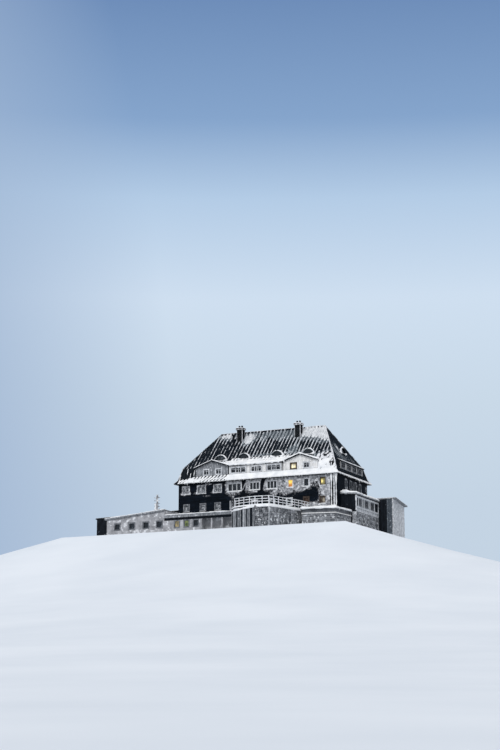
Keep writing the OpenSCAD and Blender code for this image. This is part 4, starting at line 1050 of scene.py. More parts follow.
    def build(self) -> None:
        """One layer on each wall, grey where the cover is thin and white where it is thick."""
        self.drips()
        b = self.block
        for side in Side:
            half = b.half(side) - 0.02
            u, z = grid(np.linspace(-half, half, int(2 * half / self.cell)),
                        np.linspace(b.floor_z, b.wall_top, int((b.wall_top - b.floor_z) / self.cell)))
            cover = self.cover(side, u, z) + 0.3 * cloud(u, z, 0.33, 41) + 0.2 * lattice(u, z, 0.09, 43)
            collar = 0.35 + 0.7 * self.collars(side, u, z)
            if side.front:
                collar = collar - self.strips(u, z)
            strong = np.maximum(cover, collar)
            height = least(0.055 * (strong - 0.45), self.deepest + 0.008 * lattice(u, z, 0.12, 45),
                           0.8 * (self.rim(side, u, z) - 0.012))
            tone = np.where((collar > cover + 0.1) & (collar > 0.8), 1, 0)
            tone = np.where(strong < 0.66 + 0.1 * lattice(u, z, 0.2, 47), 2, tone)
            shape, face = Shape(), b.wall(side)
            blanket(shape, face.at(u, z, self.lift), face.normal, height, 0.008, tone)
            shape.snow("wall_rime_" + side.tag, (CRUST_RIME, HARD_RIME, SOOTY_RIME), "rimed_timber")


@dataclass
class RoofSeams:
    """Standing seams of the sheet roof and the frost that lies in the lee of each seam."""

    block: Block
    seam_w: float = 0.024
    ridge: tuple[float, float] = (-0.004, 0.026)
    steps: int = 10
    cell: float = 0.07
    deepest: float = 0.024

    def face(self, side: Side, y0: float, z0: float, y1: float, z1: float) -> tuple[Face, float]:
        """The plane of a slope from one profile point to the next, and its length up the slope."""
        wall = self.block.wall(side)
        run, lift = y1 - y0, z1 - z0
        length = math.hypot(run, lift)
        up = (-wall.normal * run + np.array([0, 0, lift])) / length
        return Face(tuple(self.block.world(side, np.array(0.0), y0, z0)), wall.along, tuple(up)), length

    def stations(self, side: Side) -> Array:
        """Places of the seams along a side."""
        count = int(2 * self.block.half(side) / SEAM)
        return (np.arange(count) - (count - 1) / 2) * SEAM

    def seams(self, side: Side) -> None:
        """Seams on the upper slope, cut where dormers and chimneys stand, and below the break."""
        b, shape = self.block, Shape()
        face, length = self.face(side, b.break_in, b.break_z, b.depth(side), b.ridge_z)
        scale = length / (b.depth(side) - b.break_in)
        slabs(shape, face, [[*around(u, self.seam_w / 2), (y0 - b.break_in) * scale,
                             (y1 - b.break_in) * scale, *self.ridge]
                            for u in self.stations(side) for y0, y1 in b.slope_spans(side, float(u))])
        steep, length = self.face(side, -b.flare_out, b.flare_z, b.break_in, b.break_z)
        foot, foot_l = self.face(side, -b.eave_out, b.eave_z, -b.flare_out, b.flare_z)
        blocked = b.row_half(side) + (0.05 if side.long else 0.0)
        short = b.flare_out / (b.flare_out + b.break_in) * length
        slabs(shape, steep, [[*around(u, 0.01), 0.0, short if abs(u) < blocked else length, *self.ridge]
                             for u in self.stations(side) if abs(u) < b.half(side) - 0.02])
        slabs(shape, foot, [[*around(u, 0.01), 0.0, foot_l, *self.ridge] for u in self.stations(side)])
        shape.piece("roof_seams_" + side.tag, COATED_SHEET, "sheet_roof")

    def share(self, side: Side, u: Array, y: Array) -> Array:
        """Share of each pan that frost covers: more towards the ridge and beside the right hip."""
        base, spots = {
            Side.FRONT: (0.04 + 0.14 * ramp(u, -4, 2), (
                (-3.8, 2.95, 0.8, 0.35, 0.9), (-1.75, 2.65, 0.55, 0.5, 0.7), (-1.8, 2.15, 0.35, 0.3, 0.35),
                (0.4, 2.75, 1.9, 0.6, 0.42), (4.2, 2.75, 1.3, 0.62, 1.1), (3.0, 2.95, 0.6, 0.4, 0.6),
                (5.2, 2.05, 0.6, 0.35, 0.7), (5.8, 0.4, 1.0, 0.42, 1.2), (2.6, 1.3, 0.5, 0.35, 0.4),
                (3.4, 1.7, 0.5, 0.3, -0.25), (4.9, 1.28, 0.9, 0.25, -0.12), (0.9, 0.98, 2.9, 0.1, 0.45))),
            Side.BACK: (0.22, ((-3.0, 2.4, 1.5, 0.6, 0.7), (1.5, 2.7, 1.8, 0.5, 0.7),
                               (4.2, 1.2, 1.0, 0.5, 0.4))),
            Side.RIGHT: (0.06, (
                (0.9, 0.45, 1.1, 0.22, 0.35), (0.35, 0.83, 0.5, 0.13, 0.8), (-0.9, 0.6, 0.9, 0.3, 0.5),
                (-1.6, 1.0, 0.5, 0.5, 0.3), (-0.5, 1.0, 0.35, 0.2, 0.8))),
            Side.LEFT: (0.16, ((0.3, 1.6, 0.5, 0.3, 0.6), (-1.6, 0.6, 0.6, 0.3, 0.4))),
        }[side]
        return base + mounds(u, y, *spots)

    def tones(self, side: Side, u: Array, y: Array, share: Array, line: Array) -> Array:
        """Finish number of the frost: white lines and lower drifts, pale grey where it is closed."""
        full = share + 0.2 * cloud(u, y, 0.5, 149) > 0.62
        high = y > 0.42 * self.block.depth(side)
        return np.where(full, np.where(high, 2, 1), np.where(line & (share < 0.42), 1, 0))

    def frost(self, side: Side) -> None:
        """Frost on an upper slope: in each pan it starts at the seam and thins out across the pan."""
        b = self.block
        seam = self.stations(side)
        k = np.arange(len(seam) * self.steps)
        deep = b.depth(side) - b.break_in
        u, y = grid(seam[0] + k * SEAM / self.steps,
                    np.linspace(b.break_in, b.depth(side), int(deep * 1.45 / self.cell)))
        phase = np.broadcast_to(((k % self.steps) / self.steps)[:, None], u.shape)
        pan = np.broadcast_to((k // self.steps)[:, None] * 3.7, u.shape)
        share = self.share(side, u, y)
        cover = share + 0.22 * lattice(pan, y, 0.8, 140) + 0.12 * lattice(pan, y, 0.21, 143)
        thin = 0.1 + 0.08 * ramp(u, -3.5, 0.5) + 0.1 * lattice(pan, y, 0.3, 144) if side.long else 0.08
        cover = np.maximum(cover, thin) + 0.06 * lattice(u, y, 0.1, 145)
        deepest = self.deepest + 0.018 * ramp(share, 0.6, 1.0)
        height = least(0.085 * (cover - phase), deepest + 0.006 * lattice(u, y, 0.16, 147))
        film = 0.02 * (share - 0.34 + 0.16 * cloud(u, y, 0.45, 146) + 0.06 * lattice(pan, y, 0.3, 139))
        bare = height < 0.002
        height = np.where(bare, np.clip(film, -0.006, 0.003), height)
        if side.front:
            spots = ramp(cloud(u - 0.4 * y, y, 0.15, 136), 0.22, 0.4) * ramp(u, 4.7, 5.1)
            height = height - 0.06 * spots * ramp(y, 1.4, 1.0)
        height = least(height, 0.4 * b.clearance(side, u, y))
        line = (phase < 0.15) & (cover > 0.1 + 0.12 * lattice(pan, y, 0.5, 148))
        tone = np.where(bare, 3, self.tones(side, u, y, share, line))
        shape = Shape()
        ground, normal = b.world(side, u, y, b.slope_z(side, y)), b.leaning(side, b.rise(side))
        blanket(shape, ground, normal, height, tone=tone)
        shape.snow("slope_frost_" + side.tag, (GREY_RIME, HARD_RIME, PALE_RIME, FILM_RIME))

    def build(self) -> None:
        """Seams and frost of the four sides."""
        for side in Side:
            self.seams(side)
            self.frost(side)


@dataclass
class RoofSnow:
    """Snow on the roofs: the thick apron on the eaves and the caps on the dormers."""

    block: Block
    cell: float = 0.06

    def profile(self) -> tuple[Array, Array, Array]:
        """Distances, points and outward normals of the eaves profile, from its board to the break."""
        b = self.block
        s, line = walk([(-b.eave_out, b.wall_top + 0.02), (-b.eave_out, b.eave_z),
                        (-b.flare_out, b.flare_z), (b.break_in, b.break_z)], pitch=self.cell)
        run, lift = (np.convolve(np.pad(np.gradient(c, s), 1, mode="edge"), np.ones(3) / 3, "valid")
                     for c in line.T)
        return s, line, unit(np.stack([-lift, run], -1))

    def apron(self, side: Side) -> None:
        """Snow on the eaves: a layer along the profile, slit at a slant where it slid at the left."""
        b, shape = self.block, Shape()
        half = b.half(side)
        s, line, normal = self.profile()
        t, s = grid(np.linspace(-1, 1, int(2 * half / 0.04)), s)
        y, z = (np.broadcast_to(c, s.shape) for c in line.T)
        u = t * (half - y)
        normals = normal[None, :, :1] * -b.wall(side).normal + normal[None, :, 1:] * np.array(UP)
        thick = 0.065 + 0.02 * cloud(u, s, 0.7, 120) + 0.012 * lattice(u, s, 0.15, 125)
        reach = 0.72 + 0.12 * cloud(u, 0, 0.9, 130) + 0.05 * lattice(u, 0, 0.17, 131)
        if side.front:
            reach = reach + 0.75 * ramp(u, 4.7, 5.5) - 0.25 * ramp(u, -5.0, -5.6)
            slit = ramp(wave(u - 0.75 * s + 0.05 * lattice(u, s, 0.5, 133)), -0.1, 0.4)
            slit = slit * ramp(u, -2.3, -2.7) * ramp(s, 0.0, 0.06)
            slit = slit * ramp(lattice(u, s * 0.3, 0.3, 134), -0.85, -0.3)
            spots = cloud(u - 0.6 * s, s * 0.6, 0.16, 136)
            bare = ramp(spots, 0.34, 0.48) * ramp(u, 4.6, 5.6) * ramp(s, 0.35, 0.55)
            bare = np.maximum(bare, ramp(spots, 0.05, 0.3) * ramp(u, 5.9, 6.3) * ramp(s, 0.55, 0.8))
            thick = thick * (1 - 2.2 * slit) - 0.02 * slit - 0.08 * bare - 0.1 * ramp(u, -6.45, -6.75)
        elif side is Side.RIGHT:
            thick, reach = thick * 0.35, reach * 0.3
        else:
            thick, reach = thick * 0.9, reach * 0.7
            if side is Side.LEFT:
                thick = thick - 0.09 * ramp(u, 2.6, 3.0)
        thick = least(thick, 0.5 * (reach - s))
        if side.long:
            ridge = ramp(wave(u, phase=math.pi / 2), 0.7, 1.0) * ramp(lattice(u, s, 0.3, 138), -0.3, 0.2)
            thick = np.maximum(thick, (0.016 * ridge - 0.008) * ramp(np.abs(u), 6.9, 6.6))
        blocked = (np.abs(u) < b.row_half(side) + 0.02) & (y > -0.005)
        thick = least(np.where(blocked, least(thick, -0.01), thick), 0.5 * s + 0.012)
        blanket(shape, b.world(side, u, y, z), normals, thick)
        shape.snow("eaves_snow_" + side.tag, SETTLED_SNOW)

    def shed_cap(self, side: Side) -> None:
        """Snow on a shed dormer's roof, with a ragged lower edge and streaks along the seams."""
        b, shape = self.block, Shape()
        half, top, end = b.shed_half(side), b.shed_top(side), b.shed_end(side)
        u, y = grid(np.linspace(-half, half, int(2 * half / 0.05)),
                    np.linspace(-b.dormer_out, end + 0.05, int((end + 0.2) * 1.14 / 0.045)))
        z = top + y * b.shed_slope
        thick = 0.055 + 0.02 * cloud(u, y, 0.5, 150) + 0.012 * wave(u, 0.22 if side.long else 0.25)
        rag = 0.05 * cloud(u, 0, 0.25, 151)
        if side.front:
            rag = rag - 0.22 * ramp(wave(u - 0.5 * y), -0.2, 0.7) * ramp(u, 1.8, 0.6)
        thick = least(thick, 0.8 * (y + b.dormer_out + rag) + 0.02)
        if side.front:
            groove = ramp(wave(u - 0.45 * y), -0.1, 0.5) * ramp(y, 0.0, 0.16)
            thick = thick - 0.12 * groove * ramp(lattice(u, y, 0.5, 152), -0.6, 0.0)
        thick = least(thick, 0.5 * (end + 0.08 + 0.1 * cloud(u, 0, 0.3, 153) - y), 0.8 * (half - np.abs(u)))
        if side.long:
            gable = b.gable_top(u)
            thick = least(thick, np.where(gable > 0, (z - gable) * 2.5, FAR))
        if side is Side.RIGHT:
            thick = thick * 0.5 - 0.02
        blanket(shape, b.world(side, u, y, z), b.leaning(side, b.shed_slope), thick)
        limit = b.gable_x - b.gable_half + 0.2 if side.long else half - 0.05
        if side.long:
            u, y = grid(np.linspace(-limit, limit, int(2 * limit / 0.03)),
                        end + np.linspace(-0.06, 0.3, 10))
            finger = ramp(wave(u, phase=0.6), -0.5, 0.5) * lumpy(u, 0.3, 156)
            blanket(shape, b.world(side, u, y, b.slope_z(side, y)), b.leaning(side, b.rise(side)),
                    least(0.035, 0.5 * (end + 0.02 + 0.18 * finger - y)))
        u = np.linspace(-limit, limit, 120)
        size, drop = (0.055, 0.06) if side.long else (0.022, 0.04)
        size = size * (1 + 0.5 * cloud(u, 0, 0.25, 155))
        tube(shape, b.world(side, u, -b.dormer_out + 0.03, top - drop), size, 8, (0.9, 1.8))
        shape.snow("shed_roof_snow_" + side.tag, SETTLED_SNOW)

    def gable_caps(self, side: Side) -> None:
        """Snow on the gabled dormers' roof plates, up to the slope behind and the valley beside."""
        b, shape = self.block, Shape()
        reach = b.gable_half + b.verge
        off = np.linspace(0, reach, 34)
        top = b.gable_peak - off * b.gable_slope
        out, share = grid(off, np.linspace(0, 1, 18))
        y = share * (b.slope_y(side, top)[:, None] + 0.03 + b.dormer_out) - b.dormer_out
        z = np.broadcast_to(top[:, None], out.shape)
        for s, flank in SIGNS:
            u = s * b.gable_x + flank * out
            heavy = (s > 0) == side.front
            thick = least((0.075 if heavy else 0.045) + 0.018 * cloud(u, y, 0.4, 160),
                          0.6 * (y + b.dormer_out) + 0.02, 0.8 * (reach - out) + 0.004)
            if s * flank < 0:
                thick = np.where(b.shed_top(side) + y * b.shed_slope > z + 0.03, -0.01, thick)
            normal = unit(UP + np.array(b.wall(side).along) * flank * b.gable_slope)
            blanket(shape, b.world(side, u, y, z)[::flank], normal, thick[::flank])
            size = (0.07 if heavy else 0.03) * (1 + 0.35 * cloud(off, flank, 0.3, 165))
            path = b.world(side, s * b.gable_x + flank * off, -b.dormer_out + 0.03, top + 0.02)
            tube(shape, path, size, 7, (0.8, 1.0))
        shape.snow("gable_snow_" + side.tag, SETTLED_SNOW)

    def arches(self) -> None:
        """Snow on the round-headed dormers: a flattened tube along each arch, thicker on the right."""
        b, shape = self.block, Shape()
        limit = math.asin(min(0.98, b.eyebrow_w / 2 / b.eyebrow_r))
        turn = np.linspace(-limit * 1.02, limit * 1.02, 26)
        for side in Side:
            for x, sill in b.eyebrows(side):
                y = float(b.slope_y(side, sill))
                u = x + b.eyebrow_r * np.sin(turn)
                z = sill + b.eyebrow_h - b.eyebrow_r + b.eyebrow_r * np.cos(turn) + 0.01
                lean = 0.55 * turn / limit * (1 if side.long else -1)
                size = 0.036 * lumpy(u, 0.13, 170 + int(10 * x), row=z) * (1 + 1.3 * lean)
                tube(shape, b.world(side, u, y - 0.02, z), size, 8, (1.9, 1.0))
                u = np.linspace(x - b.eyebrow_w * 0.5, x + b.eyebrow_w * 0.5, 24)
                size = 0.012 + 0.06 * lumpy(u, 0.16, 172, 0.6) * ramp(np.abs(u - x), 0.2, 0.5)
                tube(shape, b.world(side, u, y - 0.06, sill + 0.03), size, 8, (1.2, 1.2))
        shape.snow("round_dormer_snow", SETTLED_SNOW)

    def lines(self) -> None:
        """Rime along the ridge, the hips and the break line: tubes of uneven thickness."""
        b, shape = self.block, Shape()
        end = b.half_l - b.hip_in
        for sx, sy in SIGNS:
            s, path = walk([(sx * end, 0, b.ridge_z)] + [
                (sx * (b.half_l + out), sy * (b.half_d + out), z) for out, z in (
                    (-b.break_in, b.break_z), (b.flare_out, b.flare_z), (b.eave_out, b.eave_z))], 60)
            base = 0.055 if (sx, sy) == (1, -1) else 0.02
            tube(shape, path, base * lumpy(s, 0.25, 180 + sx, 0.4))
        x = np.linspace(-end, end, 120)
        size = (0.024 + 0.012 * ramp(x, 2.6, 3.2)) * lumpy(x, 0.3, 185)
        tube(shape, xyz(x, 0.0, b.ridge_z + 0.012), size, flat=(1.6, 1.0))
        shape.snow("ridge_and_hip_rime", HARD_RIME)

    def build(self) -> None:
        """All snow on the main roof and its dormers."""
        for side in Side:
            self.apron(side)
            self.shed_cap(side)
        for side in (Side.FRONT, Side.BACK):
            self.gable_caps(side)
        self.arches()
        self.lines()


@dataclass
class DormerBoards:
    """Upright boards on the dormer faces, dark verge boards and corner posts."""

    block: Block
    board_w: float = 0.075
    casing: float = 0.045
    pane_pitch: float = 0.245
    sill: float = 0.06
    pane_h: float = 0.44

    def windows(self, side: Side) -> list[Opening]:
        """Openings in a side's dormer faces."""
        b = self.block
        if side.long:
            panes = [(a * b.gable_x, w * b.gable_x)
                     for a, w in ((-0.4, 0.347), (0.016, 0.24), (0.413, 0.307))]
            panes += [(s * b.gable_x + a * b.gable_half, 0.345 * b.gable_half)
                      for s in (-1, 1) for a in (-0.37, 0.37)]
        else:
            wide = 2 * b.side_half
            panes = [(i * self.pane_pitch * wide, 0.16 * wide) for i in (-1.5, -0.5, 0.5, 1.5)]
        return [Opening(u, b.dormer_z + self.sill, w, self.pane_h) for u, w in panes]

    def face_top(self, side: Side, u: float) -> float:
        """Height at which the dormer face ends under its roof at u."""
        b = self.block
        off = abs(abs(u) - b.gable_x)
        if side.long and off < b.gable_half:
            return b.gable_face - off * b.gable_slope
        return b.face_z(side) if abs(u) < b.shed_half(side) else 0.0

    def rows(self, side: Side) -> list[list[float]]:
        """Boards between and round a side's openings."""
        b, wide = self.block, self.board_w
        rng = np.random.default_rng(200 + side.number)
        half, rows = b.row_half(side), []
        for u in np.arange(-half, half - wide / 2, wide):
            top = min(self.face_top(side, u + 0.001), self.face_top(side, u + wide - 0.001))
            holes = [(w.z - self.casing, w.z + w.h + self.casing) for w in self.windows(side)
                     if abs(u + wide / 2 - w.u) < w.w / 2 + self.casing + wide / 3]
            for z0, z1 in minus([(b.dormer_z, top)], holes):
                rows.append([u + 0.003, u + wide - 0.003, z0, z1, FOOT, 0.012 + rng.uniform(-0.003, 0.004)])
        return rows

    def build(self) -> None:
        """Boards between the openings, posts, trim and painted shade under the roof edges, and window bars.
        """
        b = self.block
        for side in Side:
            shape, bars, wall, rows = Shape(), Shape(), b.wall(side), self.rows(side)
            pale_from = {Side.FRONT: b.gable_half - b.gable_x, Side.RIGHT: -FAR}.get(side, FAR)
            for pale in (False, True):
                slabs(shape, wall, [r for r in rows if (r[0] > pale_from) == pale], tone=int(pale))
            shape.piece("dormer_boards_" + side.tag, (WEATHERED_LARCH, FROSTED_LARCH), "grey_boards")
            self.trim(side).piece("dormer_trim_and_eave_shade_" + side.tag, DARK_LARCH_AND_SHADE, "dark_timber")
            panes = self.windows(side)
            slabs(bars, wall, [[*around(w.u, 0.018), w.z + 0.04, w.z + w.h - 0.04, -0.069, -0.03]
                               for w in panes], 0.003)
            slabs(bars, wall, [[*around(w.u, w.w / 2 - 0.04), w.z + 0.28, w.z + 0.3, -0.069, -0.034]
                               for w in panes], 0.003)
            bars.piece("dormer_window_bars_" + side.tag, WINDOW_PAINT, "window_paint")

    def trim(self, side: Side) -> Shape:
        """Corner posts, a dark board along the face's top as painted shade under the roof's edge, and, under
        the gables' verges, a raked board of two stretches.
        """
        b, shape, wall, top = self.block, Shape(), self.block.wall(side), self.block.face_z(side)
        if not side.long:
            posts = [i * self.pane_pitch * 2 * b.side_half for i in (-1, 0, 1)]
            posts += [-b.side_half + 0.04, b.side_half - 0.04]
            slabs(shape, wall, [[*around(u, 0.03), b.dormer_z, top, FOOT, 0.03] for u in posts])
            # A dark board along the top of the face: painted shade under the shed roof's edge.
            slabs(shape, wall, [[-b.side_half, b.side_half, top - 0.05, top, FOOT, 0.034]])
            return shape
        inner = b.gable_x - b.gable_half
        slabs(shape, wall, [[*around(u, 0.035), b.dormer_z, b.dormer_z + b.gable_side, FOOT, 0.035]
                            for u in (-inner - 0.02, inner + 0.02)])
        # A dark board 0.12 m high along the top of the shed face: painted shade under the snowy roof edge.
        slabs(shape, wall, [[-inner, inner, top - 0.12, top, FOOT, 0.03]])
        rake = math.atan2(b.gable_rise, b.gable_half)
        length = (b.gable_half + b.verge) / math.cos(rake)
        for s, flank in SIGNS:
            apex = b.world(side, np.array(s * b.gable_x), -b.dormer_out, b.gable_peak)
            along = np.array(wall.along) * flank * math.cos(rake) - np.array([0, 0, math.sin(rake)])
            up = np.cross(wall.normal, along)
            turn = -1 if up[2] < 0 else 1
            slabs(shape, Face(tuple(apex), tuple(turn * along), tuple(turn * up)),
                  [[min(0.0, turn * length), max(0.0, turn * length), -0.085, -0.004, SHALLOW, 0.014]])
        return shape


def coursed(shape: Shape, face: Face, area: tuple[float, float, float, float], course: float,
            seed: int, lift: float = 0.03) -> None:
    """Adds coursed stones to a face: rows of about one height, each cut at random lengths.

    Args:
        shape: what they are added to.
        face: the wall face.
        area: u0, u1, v0 and v1 of the wall.
        course: mean height of a course.
        seed: seed of the random sizes.
        lift: mean height of the stones above the joints.
    """
    rng = np.random.default_rng(seed)
    u0, u1, v0, v1 = area
    rows, v = [], v0
    while v < v1 - 0.02:
        top = min(v + course * rng.uniform(0.8, 1.2), v1)
        if v1 - top < course * 0.4:
            top = v1
        u = u0
        while u < u1 - 0.01:
            end = min(u + course * rng.uniform(1.1, 2.6), u1)
            if u1 - end < course * 0.5:
                end = u1
            rows.append([u + 0.006, end - 0.006, v + 0.006, top - 0.006, -0.003,
                         lift * rng.uniform(0.7, 1.25)])
            u = end
        v = top
    slabs(shape, face, rows, 0.014)


def rectangle(x: float, y: float, a: float, b: float) -> list[tuple[float, float]]:
    """Plan corners of a rectangle round x, y with the half sides a and b."""
    return [(x - a, y - b), (x + a, y - b), (x + a, y + b), (x - a, y + b)]


def stretches(corners: Sequence[Sequence[float]], closed: bool = False) -> list[tuple[Face, float]]:
    """Upright faces over the stretches of a ground line, with the outside on the line's right.

    Args:
        corners: plan points of the line.
        closed: whether a last stretch leads back to the first point.

    Returns:
        For each stretch the face, with v as the height, and its length.
    """
    line = np.array([*corners, corners[0]] if closed else corners, float)
    out = []
    for start, run in zip(line, np.diff(line, axis=0)):
        length = float(np.linalg.norm(run))
        out.append((Face((*start, 0.0), (*(run / length), 0.0)), length))
    return out


@dataclass
class Masonry:
    """Granite facing of the plinth and the platform, and the stones of the chimneys."""

    block: Block
    plinth: float = 0.04
    slab_z: float = 1.51
    course: float = 0.17
    platform: tuple[tuple[float, float], ...] = ((4.79, -3.3), (4.79, -5.3), (7.29, -4.82), (7.55, -2.42))
    platform_z: float = 1.37
    shaft: tuple[float, float] = (7.5, 8.82)
    cap_z: float = 8.99
    cap_out: float = 0.065

    def build(self) -> None:
        """Plinth, platform and chimneys."""
        b = self.block
        plinth, platform, beams = Shape(), Shape(), Shape()
        outline = rectangle(0, 0, b.half_l + self.plinth, b.half_d + self.plinth)
        for i, (face, length) in enumerate(stretches(outline, True)):
            coursed(plinth, face, (0, length, 0, self.slab_z - 0.01), self.course, 220 + i, 0.025)
        for i, (face, length) in enumerate(stretches(self.platform)):
            coursed(platform, face, (0, length, 0, self.platform_z - 0.02), self.course, 230 + i, 0.022)
            # The two concrete strips, over and under the pale beam, are painted shade: the dark band under
            # the platform's lip and the dark line under the beam.
            slabs(beams, face, [[0.0, length, 1.2, 1.36, 0.0, 0.045],
                                [0.0, length, 1.06, 1.11, 0.0, 0.035]])
            slabs(beams, face, [[0.0, length, 1.12, 1.19, 0.0, 0.06]], 0.01, 1)
        plinth.piece("plinth_stones", SPLIT_GRANITE, "masonry")
        platform.piece("platform_stones", SPLIT_GRANITE, "masonry")
        beams.piece("platform_beams_and_painted_shade", (CAST_CONCRETE, FROSTED_LARCH), "dark_timber")
        self.chimneys()

    def chimneys(self) -> None:
        """Small stones on the four faces of each shaft above the roof, and rime on its edges."""
        b, stones, rime = self.block, Shape(), Shape()
        half = b.chimney_w / 2
        for s in (-1, 1):
            x, y = s * b.chimney_x, -b.chimney_y
            for i, (face, length) in enumerate(stretches(rectangle(x, y, half, half), True)):
                coursed(stones, face, (0, length, *self.shaft), 0.1, 240 + i + 10 * s, 0.012)
            for sx, sy in ((1, -1), (-1, -1), (1, 1), (-1, 1)):
                z = np.linspace(7.6 if sy < 0 else 8.0, 8.8, 24)
                size = (0.028 if sx > 0 else 0.014) * lumpy(z, 0.15, 250)
                tube(rime, xyz(x + sx * half, y + sy * half, z), size)
            self.cap_rime(rime, x, y, s)
        stones.piece("chimney_stones", SOOTED_STONE, "chimney_render")
        rime.snow("chimney_rime", HARD_RIME)

    def cap_rime(self, shape: Shape, cx: float, cy: float, s: int) -> None:
        """Rime on a cap: a lumpy layer on its top and a ragged band round its edge."""
        half = self.block.chimney_w / 2 + self.cap_out
        x, y = grid(np.linspace(-half, half, 16), np.linspace(-half, half, 16))
        height = least(0.03 + 0.02 * cloud(x, y, 0.15, 260 + s),
                       0.9 * (half - np.maximum(np.abs(x), np.abs(y))) + 0.006)
        blanket(shape, xyz(x + cx, y + cy, self.cap_z), np.array(UP), height)
        turn = np.linspace(0, 2 * math.pi, 41)
        out = half / np.maximum(np.abs(np.cos(turn)), np.abs(np.sin(turn)))
        size = (0.035 if s > 0 else 0.022) * lumpy(turn, 0.3, 262)
        for drop in (0.02, 0.13):
            tube(shape, xyz(cx + out * np.cos(turn), cy + out * np.sin(turn), self.cap_z - drop), size)


@dataclass
class Terrace:
    """Boards, posts, snow edge and railing frost of the bowed terrace."""

    deck_z: float = 1.65
    skirt_z: float = 1.5
    rail_h: float = 0.59
    left: float = -0.25
    right: float = 4.6
    plinth_y: float = 3.265
    annex_out: float = 3.21
    bow: float = 1.75
    post_gap: float = 0.45
    rail_in: float = 0.045
    bars: Triple = (0.35, 0.67, 1.0)

    def edge(self) -> Array:
        """Corners of the terrace edge: shares of its length, its bow and the annex depth."""
        long, bow, out = np.array([(0, 0, 1), (0, 0.25, 1), (0.11, 0.66, 1), (0.31, 0.89, 1), (0.52, 1, 1),
                                   (0.75, 0.94, 1), (0.82, 0.37, 1), (0.9, 0, 0.77), (0.97, 0, 0.38),
                                   (1, 0, 0)]).T
        return np.stack([self.left + long * (self.right - self.left),
                         -self.plinth_y - bow * self.bow - out * self.annex_out], 1)

    def along(self, pitch: float, inset: float) -> Array:
        """X and Y of points along the edge about a pitch apart, moved inwards by the inset."""
        path = walk(self.edge(), pitch=pitch)[1]
        step = unit(np.gradient(path, axis=0))
        return (path + np.stack([-step[:, 1], step[:, 0]], 1) * inset).T

    def posts(self) -> Array:
        """Plan points of the railing's posts: each stretch of the edge split into even steps."""
        knots, out = self.edge(), []
        for a, c in zip(knots, knots[1:]):
            length = np.hypot(*(c - a))
            count = max(1, round(length / self.post_gap))
            normal = np.array([a[1] - c[1], c[0] - a[0]]) / length
            out += [a + (c - a) * k / count + normal * self.rail_in for k in range(count)]
        return np.array(out)

    def skirt(self) -> None:
        """Loose boards under the bow, some dark as painted shade, stones under its right part, and a post at
        each corner.
        """
        boards, stones, posts = Shape(), Shape(), Shape()
        rng = np.random.default_rng(300)
        for i, (face, length) in enumerate(stretches(self.edge())):
            if i == 4:
                coursed(stones, face, (0.02, length, 0, self.skirt_z), 0.15, 310, 0.003)
            elif i > 4:
                coursed(stones, face, (0, length, 0, self.skirt_z), 0.36, 320 + i, 0.006)
            else:
                rows, u = [], 0.0
                while u < length - 0.05:
                    wide, gap = rng.uniform(0.08, 0.15), rng.uniform(0.012, 0.06)
                    rows.append([u + gap / 2, min(u + wide, length) - gap / 2, rng.uniform(0.0, 0.03),
                                 self.skirt_z - rng.uniform(0, 0.02), FOOT,
                                 rng.uniform(0.004, 0.009) if i < 3 else 0.003])
                    u += wide
                for row in rows:
                    # About three boards in ten take the dark finish: painted shade where a board is missing
                    # and the hollow under the deck shows.
                    slabs(boards, face, [row], tone=int(rng.uniform() < 0.3))
            wide = 0.06 if i == 5 else 0.02
            slabs(posts, face, [[0.012 if i == 4 else -wide, wide, 0, 1.56, -0.004, 0.0005]], 0.002)
        boards.piece("terrace_skirt_boards", (WEATHERED_LARCH, DARK_LARCH_AND_SHADE), "grey_boards")
        stones.piece("terrace_stones", SPLIT_GRANITE, "masonry")
        posts.piece("terrace_posts", WINDOW_PAINT, "frosted_metal")

    def build(self) -> None:
        """Skirt, snow on the deck's edge and rime on the railing."""
        self.skirt()
        snow, rime = Shape(), Shape()
        x, y = self.along(0.06, 0.012)
        s = np.arange(len(x)) * 0.06
        line = xyz(x, np.maximum(y, CAD_BOX[0][1] + 0.045), self.deck_z - (0.27 - 0.12 * ramp(x, 0.8, 2.2)))
        tube(snow, line, 0.11 * (1 + 0.2 * cloud(s, 0, 0.4, 320)), 10, (0.36, 0.78))
        snow.snow("terrace_edge_snow", SETTLED_SNOW)
        knots = self.edge()
        bend = knots[2][0] - 0.1
        x, y = self.along(0.05, self.rail_in)
        x, y = x[x > bend], y[x > bend]
        s = np.arange(len(x)) * 0.05
        for k, share in enumerate(self.bars):
            size = 0.024 * lumpy(s, 0.13, 330 + k) * (0.55 + 0.5 * ramp(x, -0.2, 2.4))
            tube(rime, xyz(x, y, self.deck_z + share * self.rail_h - 0.015), size, flat=(1.0, 1.15))
        z = np.linspace(self.deck_z, self.deck_z + self.rail_h - 0.02, 14)
        for x, y in self.posts():
            if y < knots[1][1] + 0.1 and (x > bend or x < knots[0][0] + 0.08):
                size = 0.032 * lumpy(z, 0.13, 340, 0.35, x) * (0.6 + 0.5 * ramp(x, -0.2, 2.4))
                tube(rime, xyz(x, y, z), size)
        rime.snow("railing_rime", HARD_RIME)


